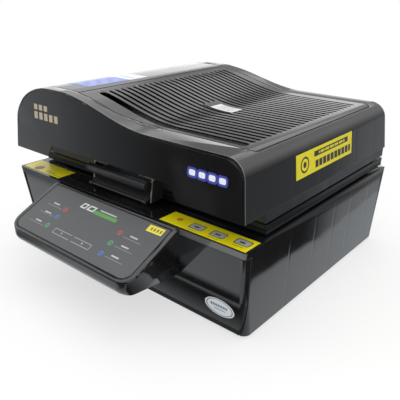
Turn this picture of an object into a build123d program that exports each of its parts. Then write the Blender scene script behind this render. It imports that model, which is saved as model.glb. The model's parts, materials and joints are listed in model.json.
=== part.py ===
"""Table-top vacuum sublimation press: a drafted plastic base with a vacuum tray, a silicone membrane
frame and a heating lid that both swing on two rear hinges, and a sloping touch panel at the front.

Frame: millimetres, origin under the middle of the whole machine at floor level, +X to the operator's
right, +Y to the back, +Z up. The machine is closed in the modelled pose.
"""
from build123d import *
from math import cos, hypot, pi, radians, sin, tan
import os

os.makedirs("parts", exist_ok=True)

# ------------------------------------------------------------------ clearances
part_gap = 0.3            # air between pieces that only sit next to each other
seam_gap = 0.8            # visible joint line between two mouldings
soft_gap = 0.3            # air between a soft piece and what it seals against
running_gap = 0.05        # radial clearance of a turning fit
overcut = 5.0             # how far a cutting body runs past the face it opens

# ------------------------------------------------------------------ heights of the stack
foot_height = 5.0
base_height = 157.0       # base moulding, from its open bottom edge to the ledge
tray_flange = 2.0         # steel thickness of the vacuum tray
gasket_height = 1.5
frame_lower = 5.5
membrane_thickness = 1.0
frame_upper = 8.5
lid_seal_height = 3.7
skirt_drop = 20.5         # how far the lid's steel skirt hangs below the lid moulding

ledge_z = foot_height + base_height
gasket_z = ledge_z + tray_flange
frame_z = gasket_z + gasket_height
membrane_z = frame_z + frame_lower
frame_upper_z = membrane_z + membrane_thickness
frame_top_z = frame_upper_z + frame_upper
seal_z = frame_top_z + soft_gap
skirt_z = seal_z + lid_seal_height
lid_z = skirt_z + skirt_drop

# ------------------------------------------------------------------ plan of the machine
lid_width = 560.0
lid_depth = 490.0
base_width = 566.0        # across the ledge
base_front_inset = 1.0    # ledge's front edge behind the lid's front edge
base_back_overhang = 1.0
base_foot_width = 554.0   # across the open bottom edge
base_front_setback = 17.0
base_back_setback = 6.0
control_reach = 110.0     # touch panel's nose in front of the lid
hinge_axis_back = 10.0    # hinge axis behind the lid's bottom edge
knuckle_radius = 7.0

overall_depth = control_reach + lid_depth + hinge_axis_back + knuckle_radius
front_y = control_reach - overall_depth / 2
back_y = front_y + lid_depth

# ------------------------------------------------------------------ base moulding
base_wall = 4.0
deck_thickness = 4.0
ledge_corner = 5.0
foot_corner = 14.0
strip_height = 12.0       # rim of the ledge above the front cover
cover_return = 19.0       # how far the front cover wraps round the sides
panel_recess = 1.5
base_panel_thickness = 1.5
panel_side_margin = 8.0   # front cover left and right of its flat panel
panel_height = 83.0
side_rib_y = (127.0, 208.0, 276.0, 341.0, 419.0)
rib_depth = 12.0
rib_thickness = 3.0
boss_radius = 5.0
boss_height = 55.0
plate_thickness = 1.5
screw_radius = 1.6
screw_head_radius = 3.2
screw_head_height = 1.8
screw_length = 12.0
foot_radius = 13.0
foot_taper = 2.0
foot_inset = 45.0
floor_slot = (60.0, 5.0)
floor_slot_pitch = 14.0
floor_slot_rows = 7
floor_slot_x = -140.0

# ------------------------------------------------------------------ vacuum tray and platen
chamber_width = 450.0     # clear inside of tray and heat chamber, for a 420 x 300 working area
chamber_depth = 340.0
chamber_corner = 12.0
tray_depth = 46.0
tray_flange_width = 16.0
tray_seat_gap = 1.0
platen_gap = 2.0
platen_thickness = 3.0
platen_below_ledge = 20.0
platen_hole_radius = 3.0
platen_pitch = 40.0
rail_width = 12.0
rail_spacing = 100.0
rail_port_clearance = 72.0
gasket_width = 10.0
gasket_edge = 2.0         # gasket's outer edge inside the tray flange's
port_side_inset = 60.0
port_front_offset = 60.0

# ------------------------------------------------------------------ membrane frame
frame_side_inset = 5.0    # frame and skirt inside the lid's bottom edge
frame_front_inset = 63.0
frame_back_inset = 5.0
frame_bar = 30.0
frame_screw_pitch = 110.0

# ------------------------------------------------------------------ lid moulding
lid_wall = 4.0
lid_side_draft = 0.1      # run per unit of rise
lid_front_lean = 0.07
lid_back_lean = 0.1
hump_height = 126.5
plateau_height = 89.0
hump_left = -165.0        # where the left shoulder meets the flat hump
hump_right = -135.0       # where the slope starts
plateau_left = 90.0       # where the slope has come down to the plateau
shoulder_height = 50.0    # height at which the left shoulder starts to curve
right_shoulder = 31.0
lid_back_round = 14.0     # rear uprights and the top's rear edge
front_border = 3.4        # moulding left round the front panel
front_panel_thickness = 2.4
cover_thickness = 2.4
cover_seat = 6.0
vent_left = -105.5
vent_right = 256.0
cover_left = -206.0
cover_back = 438.0
cover_front_hump = 29.5
cover_front_plateau = 49.5
cover_front_turn = (-10.0, 62.0)
cover_corner = 12.0
cover_seam = 0.6          # open line round each cover
slot_left = -88.0
slot_right = 234.0
slot_pitch = 14.2
slot_width = 7.0
slot_count = 25
first_slot = 66.0
first_slot_width = 16.0

# ------------------------------------------------------------------ hand cut-out and handle
cutout_centre = -12.0
cutout_bottom = 330.0
cutout_top = 299.0
cutout_height = 23.4
cutout_corner = 6.0
handle_centre = -6.0
handle_length = 146.0
handle_radius = 8.0
handle_front = 22.0       # bar's axis behind the lid's front edge
handle_below = 4.5        # bar's axis below the lid's bottom edge
cheek_thickness = 2.0
cheek_top = 8.0
cheek_drop = 36.0
cheek_front_top = 35.0
cheek_front_bottom = 28.0
cheek_tab = 32.0
cheek_tab_drop = 3.0      # tabs below the cheeks' top
cheek_tab_depth = 9.0
cheek_frame_gap = 6.0
lip_back = (36.0, 21.0)   # lip's back edge: behind the lid's front edge, below its bottom edge
lip_front = (20.5, 32.0)
lip_thickness = 2.0
lip_roll = 2.2
lip_knob_radius = 3.6
lip_knob_length = 8.0
handle_screw_radius = 5.0
handle_screw_height = 2.5

# ------------------------------------------------------------------ skirt, heat chamber
skirt_front_inset = 60.0
skirt_back_inset = 5.5
skirt_thickness = 2.0
skirt_rise = 6.0          # how far the side bands reach up inside the lid
skirt_corner_clear = 22.0
skirt_front_rise = 45.0
skirt_upper_inset = 12.0
liner_thickness = 1.2
liner_rise = 52.0         # heat chamber's roof above the lid's bottom edge
seal_inset = 12.0
seal_width = 10.0
insulation = 14.0
heater_radius = 5.0
heater_z = 14.0
heater_count = 4
heater_spacing = 92.0
holder_length = 12.0
holder_size = 18.0
circulation_from_side = 75.0
motor_radius = 32.0
motor_height = 46.0
motor_foot = 3.0
shaft_radius = 3.0
impeller_radius = 50.0
impeller_height = 12.0
impeller_drop = 6.0
blade_count = 6
blade_thickness = 1.5
hub_radius = 9.0
probe_from_side = 165.0
probe_radius = 2.5
probe_length = 34.0
probe_nut = 6.0

# ------------------------------------------------------------------ control box
control_centre = 3.0
control_width = 312.0
control_slope = 25.0
control_back_gap = 2.0    # bezel's back edge in front of the lid's front edge
control_below_ledge = 1.0
control_corner = 27.0
control_back_corner = 3.0
control_wall = 3.0
control_side_taper = 0.15
bezel_thickness = 4.0
bezel_width = 9.0
bezel_end = 5.5           # bezel's width along the panel's back and front
overlay_thickness = 2.0
overlay_gap = 0.8
overlay_lip = 3.0
nose_height = 27.0        # from the bezel's front edge down to the underside
underside_fall = 11.5     # underside's drop from the nose back to the base
nose_radius = 18.0
board_thickness = 1.6
board_drop = 6.0
board_margin = 24.0
board_post_radius = 3.0
board_post_inset = 10.0
display_size = (70.0, 26.0, 5.5)
cable_window = (200.0, 26.0)

# ------------------------------------------------------------------ hinges
hinge_x = 180.0
hinge_pin_radius = 3.0
base_knuckle = 12.0
swing_knuckle = 17.4
leaf_thickness = 3.0
leaf_drop = 45.0
leaf_edge = 1.5           # leaves stop this far inside the faces they lie on
pin_overhang = 1.0

# ------------------------------------------------------------------ rear wall
rear_port_z = 60.0
plate_clearance = 0.2     # rear plates stand this far off the sloping wall's nearest point
inlet_from_side = 78.0
inlet_size = (48.0, 28.0)
inlet_depth = 24.0
inlet_rim = (6.0, 3.0)
inlet_flange = 2.5
socket_size = (24.0, 14.0, 16.0)
contact_size = (2.0, 12.0, 4.0)
contact_pitch = 7.0
switch_from_side = 133.0
switch_size = (22.0, 30.0)
switch_depth = 20.0
switch_wall = 2.5
switch_well = 12.0
switch_rim = 2.0
switch_pivot_depth = 3.0
switch_axle_radius = 1.5
rocker_throw = 18.0
rocker_end_gap = 2.5
rocker_rise = 3.0
rocker_dish = 1.2
fan_from_side = 93.0
fan_size = 80.0
fan_depth = 20.0
fan_setback = 2.0
fan_bore = 37.0
fan_hub_radius = 14.0
fan_hub_depth = 5.0
fan_arm = (3.0, 4.0)
fan_blade_tip_gap = 2.0
fan_blades = 7
fan_blade = (12.0, 1.5)
fan_blade_pitch = 40.0
fan_axle_radius = 1.5
guard_wire = 1.6
guard_rings = 4
guard_inner_radius = 8.0

# ------------------------------------------------------------------ vacuum equipment under the tray
pump_x = 120.0            # middle of the pump motor's cradle
pump_y = 295.0
pump_axis_height = 40.0
pump_radius = 27.0
pump_length = 84.0
pump_tail = 50.0          # motor's tail left of the cradle's middle
pump_bore = 30.0
pump_head_size = (40.0, 58.0, 62.0)
cradle_size = (110.0, 52.0)
cradle_lift = 6.0
cradle_plate = 2.0
cradle_inset = 8.0
grommet_radius = 6.0
saddle_size = (70.0, 28.0)
tail_fan_gap = 4.0
tail_fan_disc = 2.0
tail_fan_rim = 3.0
tail_fan_blade = (6.0, 1.2)
tail_fan_blades = 8
hose_radius = 5.0
hose_wall = 1.5
hose_bend = 20.0
barb_length = 14.0
hose_end_gap = 0.5
nipple_nut = (8.0, 1.5)
nipple_drop = 12.0
pump_port_height = 8.0
valve_size = (26.0, 42.0, 30.0)
valve_side_offset = 10.0
valve_front_offset = 120.0
valve_port_height = 20.0
valve_riser_offset = 8.0
valve_foot = (16.0, 28.0)
spacer_height = 8.0
spacer_radius = 4.0
spacer_inset = 8.0
board_size = (150.0, 100.0, 1.6)
board_at = (-60.0, 170.0)
capacitor_size = (8.0, 22.0)
capacitor_x = (-50.0, -28.0, -6.0)
capacitor_y = 28.0
relay_block = (20.0, 16.0, 16.0)
relay_block_x = (-45.0, -10.0, 25.0)
relay_block_y = -28.0
filter_block = (26.0, 38.0, 20.0)
filter_at = (53.0, 11.0)
heatsink_size = (90.0, 70.0, 34.0)
heatsink_base = 6.0
heatsink_fin = 2.0
heatsink_fins = 9
heatsink_at = (-60.0, 360.0)
relay_size = (58.0, 44.0, 22.0)
transformer_size = (62.0, 52.0, 50.0)
transformer_limb = 10.0
transformer_at = (-190.0, 300.0)

# ------------------------------------------------------------------ labels
label_thickness = 0.3
plate_label_thickness = 0.8
left_ledge_label = ((-278.0, -162.5), (7.5, 48.0))
right_ledge_label = ((112.5, 280.0), (4.0, 42.0))
side_label_y = (135.0, 324.0)
side_label_z = (25.0, 64.0)
hump_label_x = (-190.0, -125.0)
hump_label_y = (68.0, 217.0)
nameplate_x = (32.0, 97.0)
nameplate_y = (205.0, 245.0)
badge_at = (229.0, 38.0)
badge_radii = (29.0, 16.0)


# ------------------------------------------------------------------ helpers
def block(x_range, y_range, z_range):
    """A box between two values on each axis."""
    size = [high - low for low, high in (x_range, y_range, z_range)]
    middle = [(high + low) / 2 for low, high in (x_range, y_range, z_range)]
    return Pos(*middle) * Box(*size)


def rod(start, end, radius):
    """A round bar from one point to another."""
    axis = Vector(*end) - Vector(*start)
    plane = Plane(origin=start, z_dir=axis)
    return extrude(plane * Circle(radius), amount=axis.length)


def save(name, *solids):
    """Write one node, with each piece as its own solid."""
    shape = solids[0] if len(solids) == 1 else Compound(children=list(solids))
    export_step(shape, f"parts/{name}.step")


def mix(low, high, share):
    return low + (high - low) * share


def across_x(points, x_low, x_high, corners=()):
    """Extrude a polygon drawn in Y and Z across X, with some of its corners rounded."""
    outline = Polyline(*points, close=True)
    face = make_face(Plane.YZ * outline)
    for index, radius in corners:
        target = Vector(0, *points[index])
        vertex = min(face.vertices(), key=lambda v: (Vector(v.X, v.Y, v.Z) - target).length)
        face = fillet(vertex, radius)
    return Pos(x_low, 0, 0) * extrude(face, amount=x_high - x_low, dir=(1, 0, 0))


def across_y(points, y_low, y_high, corners=()):
    """Extrude a polygon drawn in X and Z across Y, with some of its corners rounded."""
    face = make_face(Polyline(*[(x, 0, z) for x, z in points], close=True))
    for index, radius in corners:
        target = Vector(points[index][0], 0, points[index][1])
        vertex = min(face.vertices(), key=lambda v: (Vector(v.X, v.Y, v.Z) - target).length)
        face = fillet(vertex, radius)
    return Pos(0, y_low, 0) * extrude(face, amount=y_high - y_low, dir=(0, 1, 0))


def mitred_ring(half_x, y_low, y_high, width, z_low, z_high):
    """Four bars cut at 45 degrees that make a rectangular frame."""
    corners = [(-half_x, y_low), (half_x, y_low), (half_x, y_high), (-half_x, y_high)]
    inner = [(-half_x + width, y_low + width), (half_x - width, y_low + width),
             (half_x - width, y_high - width), (-half_x + width, y_high - width)]
    bars = []
    for index in range(4):
        following = (index + 1) % 4
        outline = Polyline(corners[index], corners[following], inner[following], inner[index], close=True)
        bars.append(Pos(0, 0, z_low) * extrude(make_face(outline), amount=z_high - z_low))
    return bars


def screw(position, direction, length=screw_length):
    """A pan-head screw whose head sits on a face, with its shank pointing along direction."""
    way = Vector(*direction).normalized()
    seat = Vector(*position)
    shank = rod(tuple(seat), tuple(seat + way * length), screw_radius)
    head = rod(tuple(seat - way * screw_head_height), tuple(seat), screw_head_radius)
    return shank + head


# ------------------------------------------------------------------ base outlines
def base_outline(z):
    """Half width, front y, back y and corner radius of the base moulding at a height."""
    share = (z - foot_height) / base_height
    half = mix(base_foot_width, base_width, share) / 2
    front = front_y + base_front_inset + mix(base_front_setback, 0, share)
    back = back_y + base_back_overhang - mix(base_back_setback, 0, share)
    return half, front, back, mix(foot_corner, ledge_corner, share)


def base_block(inset, z_low, z_high):
    """The base's drafted outer form between two heights, taken in by an inset."""
    faces = []
    for z in (z_low, z_high):
        half, front, back, corner = base_outline(z)
        width = 2 * (half - inset)
        depth = back - front - 2 * inset
        middle = Pos(0, (front + back) / 2, z)
        faces.append(middle * RectangleRounded(width, depth, max(corner - inset, corner / 4)))
    return loft(faces, ruled=True)


# ------------------------------------------------------------------ lid form
def slope_height(x):
    """Height of the lid's S-shaped slope above the lid's bottom edge."""
    share = (x - hump_right) / (plateau_left - hump_right)
    return mix(plateau_height, hump_height, (1 + cos(pi * share)) / 2)


def slope_points(inset, count=7):
    """Points down the slope, moved inwards square to it."""
    run = plateau_left - hump_right
    points = []
    for index in range(1, count):
        share = index / count
        grade = -(hump_height - plateau_height) / 2 * sin(pi * share) * pi / run
        length = hypot(1, grade)
        x = hump_right + run * share
        points.append((x + inset * grade / length, slope_height(x) - inset / length))
    return points


def left_shoulder_points(inset, count=5):
    """Points up the left shoulder, a quarter of an ellipse."""
    reach = lid_width / 2 + hump_left - lid_side_draft * shoulder_height - inset
    rise = hump_height - shoulder_height - inset
    angles = [pi / 2 * index / count for index in range(1, count)]
    return [(hump_left - reach * cos(a), shoulder_height + rise * sin(a)) for a in angles]


def lid_section(inset, bottom):
    """The lid's cross-section in X and Z, taken in by an inset, closed at a height."""
    half = lid_width / 2 - inset
    left_start = (-half + lid_side_draft * shoulder_height, shoulder_height)
    roof = hump_height - inset
    floor = plateau_height - inset
    radius = right_shoulder - inset
    stretch = hypot(1, lid_side_draft)
    centre_z = plateau_height - right_shoulder
    centre_x = lid_width / 2 - lid_side_draft * centre_z - right_shoulder * stretch
    side_end = (centre_x + radius / stretch, centre_z + radius * lid_side_draft / stretch)
    corner_mid = (centre_x + radius * sin(pi / 4), centre_z + radius * cos(pi / 4))
    flat = [(x, 0, z) for x, z in ((centre_x, floor), (plateau_left, floor))]
    lift = [(x, 0, z) for x, z in slope_points(inset)][::-1]
    hump = [(x, 0, roof) for x in (hump_right, hump_left)]
    shoulder = [(x, 0, z) for x, z in left_shoulder_points(inset)][::-1]
    left_low = (-half + lid_side_draft * bottom, 0, bottom)
    right_low = (half - lid_side_draft * bottom, 0, bottom)
    edges = [
        Line(left_low, right_low),
        Line(right_low, (side_end[0], 0, side_end[1])),
        ThreePointArc((side_end[0], 0, side_end[1]), (corner_mid[0], 0, corner_mid[1]), flat[0]),
        Line(*flat),
        Spline(flat[1], *lift, hump[0], tangents=[(-1, 0, 0), (-1, 0, 0)]),
        Line(*hump),
        Spline(hump[1], *shoulder, (left_start[0], 0, left_start[1]),
               tangents=[(-1, 0, 0), (-lid_side_draft, 0, -1)]),
        Line((left_start[0], 0, left_start[1]), left_low),
    ]
    return make_face(edges)


def lid_block(inset, bottom=0.0):
    """The lid's solid outer form, taken in by an inset on every side but its bottom."""
    top = hump_height + overcut
    body = extrude(lid_section(inset, bottom), amount=lid_depth, dir=(0, 1, 0))
    trim = across_x([(inset + lid_front_lean * bottom, bottom),
                     (inset + lid_front_lean * top, top),
                     (lid_depth - inset - lid_back_lean * top, top),
                     (lid_depth - inset - lid_back_lean * bottom, bottom)],
                    -lid_width, lid_width)
    return Pos(0, front_y, lid_z) * (body & trim)


def cover_plan(left, right, inset):
    """Plan outline of a top cover between two X values, taken in by an inset."""
    turn_low, turn_high = cover_front_turn
    front_hump = front_y + cover_front_hump + inset
    front_plateau = front_y + cover_front_plateau + inset
    rear = front_y + cover_back - inset
    low = left + inset
    high = right - inset
    points = [(low, front_hump), (low, rear), (high, rear)]
    if high > turn_high:
        points += [(high, front_plateau), (turn_high, front_plateau), (turn_low, front_hump)]
    else:
        points += [(high, front_hump)]
    face = make_face(Polyline(*points, close=True))
    if high > turn_high:
        ends = face.vertices().sort_by(Axis.X)[-2:]
        face = fillet(ends, cover_corner)
    return extrude(face, amount=lid_z + hump_height + overcut)


# ------------------------------------------------------------------ base pieces
def make_base_shell():
    inner_top = ledge_z - deck_thickness
    shell = base_block(0, foot_height, ledge_z) - base_block(base_wall, foot_height, inner_top)
    seat = RectangleRounded(tray_opening[0], tray_opening[1], chamber_corner)
    shell -= Pos(0, chamber_y, inner_top) * extrude(seat, amount=2 * deck_thickness, both=True)
    front_zone = block((-base_width, base_width), (front_y - control_reach, front_y + cover_return),
                       (0, ledge_z - strip_height))
    shell -= front_zone
    plate_top = foot_height + plate_thickness
    for offset in side_rib_y:
        for side in (-1, 1):
            half, _, _, _ = base_outline(plate_top)
            outer = side * (base_width / 2)
            inner = side * (half - base_wall - rib_depth)
            middle = front_y + offset
            rib = block(sorted((outer, inner)), (middle - rib_thickness / 2, middle + rib_thickness / 2),
                        (plate_top, inner_top))
            boss = rod((inner, middle, plate_top), (inner, middle, plate_top + boss_height), boss_radius)
            shell += (rib + boss) & base_block(base_wall / 2, foot_height, ledge_z)
            shell -= rod((inner, middle, plate_top), (inner, middle, plate_top + screw_length), screw_radius)
    for cut in rear_wall_cuts():
        shell -= cut
    return shell


inlet_x = inlet_from_side - base_width / 2
switch_x = switch_from_side - base_width / 2
fan_x = base_width / 2 - fan_from_side


def rear_wall_cuts():
    """Openings through the base's rear wall for the power inlet, the switch and the fan."""
    wall = (back_y - base_back_setback - 3 * base_wall, back_y + overcut)
    inlet = block((inlet_x - inlet_size[0] / 2, inlet_x + inlet_size[0] / 2), wall,
                  (rear_port_z - inlet_size[1] / 2, rear_port_z + inlet_size[1] / 2))
    rocker = block((switch_x - switch_size[0] / 2, switch_x + switch_size[0] / 2), wall,
                   (rear_port_z - switch_size[1] / 2, rear_port_z + switch_size[1] / 2))
    fan = rod((fan_x, wall[0], rear_port_z), (fan_x, wall[1], rear_port_z), fan_bore)
    return inlet, rocker, fan


def panel_window(inset):
    """Body that frames the flat part of the front cover, seen from the front."""
    top = ledge_z - strip_height - seam_gap - inset
    low = top - panel_height + 2 * inset
    points = []
    for z, side in ((top, -1), (top, 1), (low, 1), (low, -1)):
        half, _, _, corner = base_outline(z)
        points.append((side * (half - max(corner, panel_side_margin) - inset), z))
    return across_y(points, front_y - overcut, front_y + cover_return)


def make_base_front_cover():
    top = ledge_z - strip_height - seam_gap
    skin = base_block(0, foot_height, top) - base_block(base_wall, foot_height, top)
    zone = block((-base_width, base_width), (front_y - overcut, front_y + cover_return - seam_gap), (0, ledge_z))
    cover = skin & zone
    cover -= panel_window(0) - base_block(panel_recess + base_panel_thickness, foot_height, ledge_z)
    return cover - cable_opening()


def cable_opening():
    middle = mix(control_nose_z - nose_height, ledge_z - strip_height, 0.5)
    return block((control_centre - cable_window[0] / 2, control_centre + cable_window[0] / 2),
                 (front_y - overcut, front_y + cover_return + base_front_setback),
                 (middle - cable_window[1] / 2, middle + cable_window[1] / 2))


def make_base_front_panel():
    skin = base_block(panel_recess, foot_height, ledge_z)
    skin -= base_block(panel_recess + base_panel_thickness, foot_height, ledge_z)
    return (skin & panel_window(part_gap)) - cable_opening()


def bottom_bosses():
    half, _, _, _ = base_outline(foot_height + plate_thickness)
    reach = half - base_wall - rib_depth
    return [(side * reach, front_y + offset) for side in (-1, 1) for offset in side_rib_y]


def foot_places():
    half, front, back, _ = base_outline(foot_height)
    return [(side * (half - foot_inset), y) for side in (-1, 1) for y in (front + foot_inset, back - foot_inset)]


def make_bottom_plate():
    plate = base_block(base_wall + part_gap, foot_height, foot_height + plate_thickness)
    for x, y in bottom_bosses():
        plate -= rod((x, y, 0), (x, y, ledge_z / 2), screw_radius + running_gap)
    slot = extrude(SlotOverall(*floor_slot), amount=2 * plate_thickness, both=True)
    middle_row = (floor_slot_rows - 1) / 2
    for row in range(floor_slot_rows):
        plate -= Pos(floor_slot_x, front_y + lid_depth / 2 + (row - middle_row) * floor_slot_pitch, foot_height) * slot
    return plate


def make_feet():
    return [Pos(x, y, foot_height / 2) * Cone(foot_radius - foot_taper, foot_radius, foot_height)
            for x, y in foot_places()]


def make_bottom_screws():
    return [screw((x, y, foot_height), (0, 0, 1), screw_length - part_gap) for x, y in bottom_bosses()]


# ------------------------------------------------------------------ vacuum tray
chamber_y = front_y + (frame_front_inset + lid_depth - frame_back_inset) / 2
circulation_x = circulation_from_side - chamber_width / 2
probe_x = chamber_width / 2 - probe_from_side
tray_opening = (chamber_width + 2 * (tray_flange + tray_seat_gap),
                chamber_depth + 2 * (tray_flange + tray_seat_gap))
tray_floor_z = ledge_z - tray_depth
platen_z = ledge_z - platen_below_ledge - platen_thickness
tray_port = (chamber_width / 2 - port_side_inset, chamber_y - port_front_offset)


def make_vacuum_tray():
    outer = RectangleRounded(chamber_width + 2 * tray_flange, chamber_depth + 2 * tray_flange, chamber_corner)
    inner = RectangleRounded(chamber_width, chamber_depth, chamber_corner - tray_flange)
    rim = RectangleRounded(tray_opening[0] + 2 * tray_flange_width, tray_opening[1] + 2 * tray_flange_width,
                           chamber_corner)
    height = tray_depth + tray_flange
    tray = Pos(0, chamber_y, tray_floor_z) * extrude(outer, amount=height)
    tray += Pos(0, chamber_y, ledge_z) * extrude(rim, amount=tray_flange)
    tray -= Pos(0, chamber_y, tray_floor_z + tray_flange) * extrude(inner, amount=height)
    x, y = tray_port
    return tray - rod((x, y, tray_floor_z - overcut), (x, y, ledge_z), hose_radius)


def make_platen():
    size = (chamber_width - 2 * platen_gap, chamber_depth - 2 * platen_gap)
    plate = Pos(0, chamber_y, platen_z) * extrude(RectangleRounded(*size, chamber_corner / 2),
                                                  amount=platen_thickness)
    counts = [int(length // platen_pitch) for length in size]
    holes = GridLocations(platen_pitch, platen_pitch, *counts)
    cutters = [Pos(0, chamber_y, platen_z) * spot * Cylinder(platen_hole_radius, 3 * platen_thickness)
               for spot in holes]
    return plate - cutters


def make_platen_rails():
    low = tray_floor_z + tray_flange
    rails = []
    for index in (-1, 0, 1):
        middle = chamber_y + index * rail_spacing
        rails.append(block((-chamber_width / 2 + rail_width, chamber_width / 2 - rail_port_clearance),
                           (middle - rail_width / 2, middle + rail_width / 2), (low, platen_z)))
    return rails


def make_tray_gasket():
    half = tray_opening[0] / 2 + tray_flange_width - gasket_edge
    reach = tray_opening[1] / 2 + tray_flange_width - gasket_edge
    return mitred_ring(half, chamber_y - reach, chamber_y + reach, gasket_width, gasket_z,
                       gasket_z + gasket_height - soft_gap)


# ------------------------------------------------------------------ membrane frame
frame_half = lid_width / 2 - frame_side_inset
frame_front = front_y + frame_front_inset
frame_back = back_y - frame_back_inset


def make_frame_bars(z_low, z_high):
    return mitred_ring(frame_half, frame_front, frame_back, frame_bar, z_low, z_high)


def make_membrane():
    edge = frame_bar / 4
    return block((-frame_half + edge, frame_half - edge), (frame_front + edge, frame_back - edge),
                 (membrane_z, frame_upper_z))


def frame_screw_places():
    inner_half = frame_half - frame_bar / 2
    rows = (frame_front + frame_bar / 2, frame_back - frame_bar / 2)
    across = [(x * frame_screw_pitch, y) for x in (-2, -1, 0, 1, 2) for y in rows]
    sides = [(side * inner_half, chamber_y + step * frame_screw_pitch) for side in (-1, 1) for step in (-1, 0, 1)]
    return across + sides


def make_frame_screws():
    screws = []
    for x, y in frame_screw_places():
        head = Pos(x, y, frame_top_z - screw_head_height / 2) * Cylinder(screw_head_radius, screw_head_height)
        screws.append(head)
    return screws


def make_frame_upper():
    bars = make_frame_bars(frame_upper_z, frame_top_z)
    cutters = [Pos(x, y, frame_top_z) * Cylinder(screw_head_radius + part_gap, 2 * screw_head_height)
               for x, y in frame_screw_places()]
    return [bar - cutters for bar in bars]


# ------------------------------------------------------------------ hinges
hinge_y = back_y + hinge_axis_back
hinge_z = (frame_top_z + skirt_z) / 2
hinge_span = 2 * base_knuckle + 2 * swing_knuckle + 4 * part_gap


def knuckle_ranges(centre):
    """X ranges of the four knuckles of one hinge: base, lid, frame, base."""
    start = centre - hinge_span / 2 + part_gap / 2
    ranges = []
    for length in (base_knuckle, swing_knuckle, swing_knuckle, base_knuckle):
        ranges.append((start, start + length))
        start += length + part_gap
    return ranges


def knuckle(x_range, bore):
    outer = rod((x_range[0], hinge_y, hinge_z), (x_range[1], hinge_y, hinge_z), knuckle_radius)
    return outer, rod((x_range[0] - overcut, hinge_y, hinge_z), (x_range[1] + overcut, hinge_y, hinge_z), bore)


def make_base_brackets():
    brackets = []
    _, _, wall_low, _ = base_outline(ledge_z - leaf_drop)
    _, _, wall_top, _ = base_outline(ledge_z)
    points = [(wall_low, ledge_z - leaf_drop), (wall_top, ledge_z), (hinge_y - knuckle_radius, hinge_z),
              (hinge_y, hinge_z - knuckle_radius), (wall_top + leaf_thickness, ledge_z),
              (wall_low + leaf_thickness, ledge_z - leaf_drop)]
    for centre in (-hinge_x, hinge_x):
        ranges = knuckle_ranges(centre)
        leaf = across_x([points[0], points[1], points[4], points[5]], ranges[0][0], ranges[3][1])
        for x_range in (ranges[0], ranges[3]):
            ear = across_x(points, *x_range)
            barrel, bore = knuckle(x_range, hinge_pin_radius)
            leaf = leaf + ear + barrel - bore
        brackets.append(leaf)
    return brackets


def make_hinge_pins():
    pins = []
    for centre in (-hinge_x, hinge_x):
        ranges = knuckle_ranges(centre)
        pins.append(rod((ranges[0][0] - pin_overhang, hinge_y, hinge_z),
                        (ranges[3][1] + pin_overhang, hinge_y, hinge_z), hinge_pin_radius))
    return pins


def make_lid_leaves():
    """Leaves that carry the lid: each lies on the skirt's rear band."""
    rear = back_y - skirt_back_inset
    low = skirt_z + leaf_edge
    high = lid_z - leaf_edge
    points = [(rear, low), (rear, high), (rear + leaf_thickness, high),
              (hinge_y, hinge_z + knuckle_radius), (hinge_y, hinge_z), (hinge_y - knuckle_radius, hinge_z)]
    leaves = []
    for centre in (-hinge_x, hinge_x):
        x_range = knuckle_ranges(centre)[1]
        barrel, bore = knuckle(x_range, hinge_pin_radius + running_gap)
        leaves.append(across_x(points, *x_range) + barrel - bore)
    return leaves


def make_frame_leaves():
    """Leaves that carry the membrane frame: each lies on the frame's rear bars."""
    low = frame_z + leaf_edge
    high = frame_top_z - part_gap
    points = [(frame_back, low), (frame_back, high), (hinge_y - knuckle_radius, hinge_z),
              (hinge_y, hinge_z), (hinge_y, hinge_z - knuckle_radius), (frame_back + leaf_thickness, low)]
    leaves = []
    for centre in (-hinge_x, hinge_x):
        x_range = knuckle_ranges(centre)[2]
        barrel, bore = knuckle(x_range, hinge_pin_radius + running_gap)
        leaves.append(across_x(points, *x_range) + barrel - bore)
    return leaves


# ------------------------------------------------------------------ lid pieces
def cutout_body(grow=0.0):
    """Hand cut-out in the bottom edge of the lid's front."""
    low = cutout_bottom / 2 + grow
    top = cutout_top / 2 + grow
    height = lid_z + cutout_height + grow
    points = [(cutout_centre - low, lid_z - overcut), (cutout_centre - low, lid_z),
              (cutout_centre - top, height), (cutout_centre + top, height),
              (cutout_centre + low, lid_z), (cutout_centre + low, lid_z - overcut)]
    return across_y(points, front_y - overcut, front_y + skirt_front_inset / 2,
                    corners=((2, cutout_corner), (3, cutout_corner)))


def front_panel_form(inset):
    """A slab that leans with the lid's front, outlined by the lid's section taken in."""
    body = extrude(lid_section(inset, 0.0), amount=skirt_front_inset, dir=(0, 1, 0))
    top = hump_height + overcut
    slab = across_x([(0, 0), (lid_front_lean * top, top),
                     (lid_front_lean * top + front_panel_thickness, top), (front_panel_thickness, 0)],
                    -lid_width, lid_width)
    return Pos(0, front_y, lid_z) * (body & slab)


def rounded_lid(inset, bottom):
    """The lid's form with its rear uprights and the rear edge of its top rounded."""
    body = lid_block(inset, bottom)
    rear = [e for e in body.edges() if e.center().Y > front_y + lid_depth / 2
            and e.center().Z > lid_z + lid_wall]
    return fillet([e for e in rear if abs(e.tangent_at(0.5).Y) < cos(pi / 6)], lid_back_round - inset)


def make_lid_shell():
    shell = rounded_lid(0, 0) - rounded_lid(lid_wall, -overcut)
    shell -= front_panel_form(front_border)
    shell -= cutout_body(seam_gap)
    rebate = lid_block(-overcut / 5) - lid_block(cover_thickness)
    shell -= rebate & cover_plan(cover_left, vent_right, 0)
    shell -= cover_plan(cover_left, vent_right, cover_seat)
    return shell


def make_lid_front_panel():
    return front_panel_form(front_border + seam_gap) - cutout_body()


def cover_skin(thickness=cover_thickness):
    return lid_block(0) - lid_block(thickness)


def make_hump_cover():
    return cover_skin() & cover_plan(cover_left, vent_left - seam_gap, cover_seam)


def slot_places():
    """Each vent slot's middle, behind the lid's front, and its width."""
    places = [(first_slot, first_slot_width)]
    start = first_slot + (first_slot_width - slot_width) / 2
    places += [(start + slot_pitch * index, slot_width) for index in range(1, slot_count)]
    return places


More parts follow.
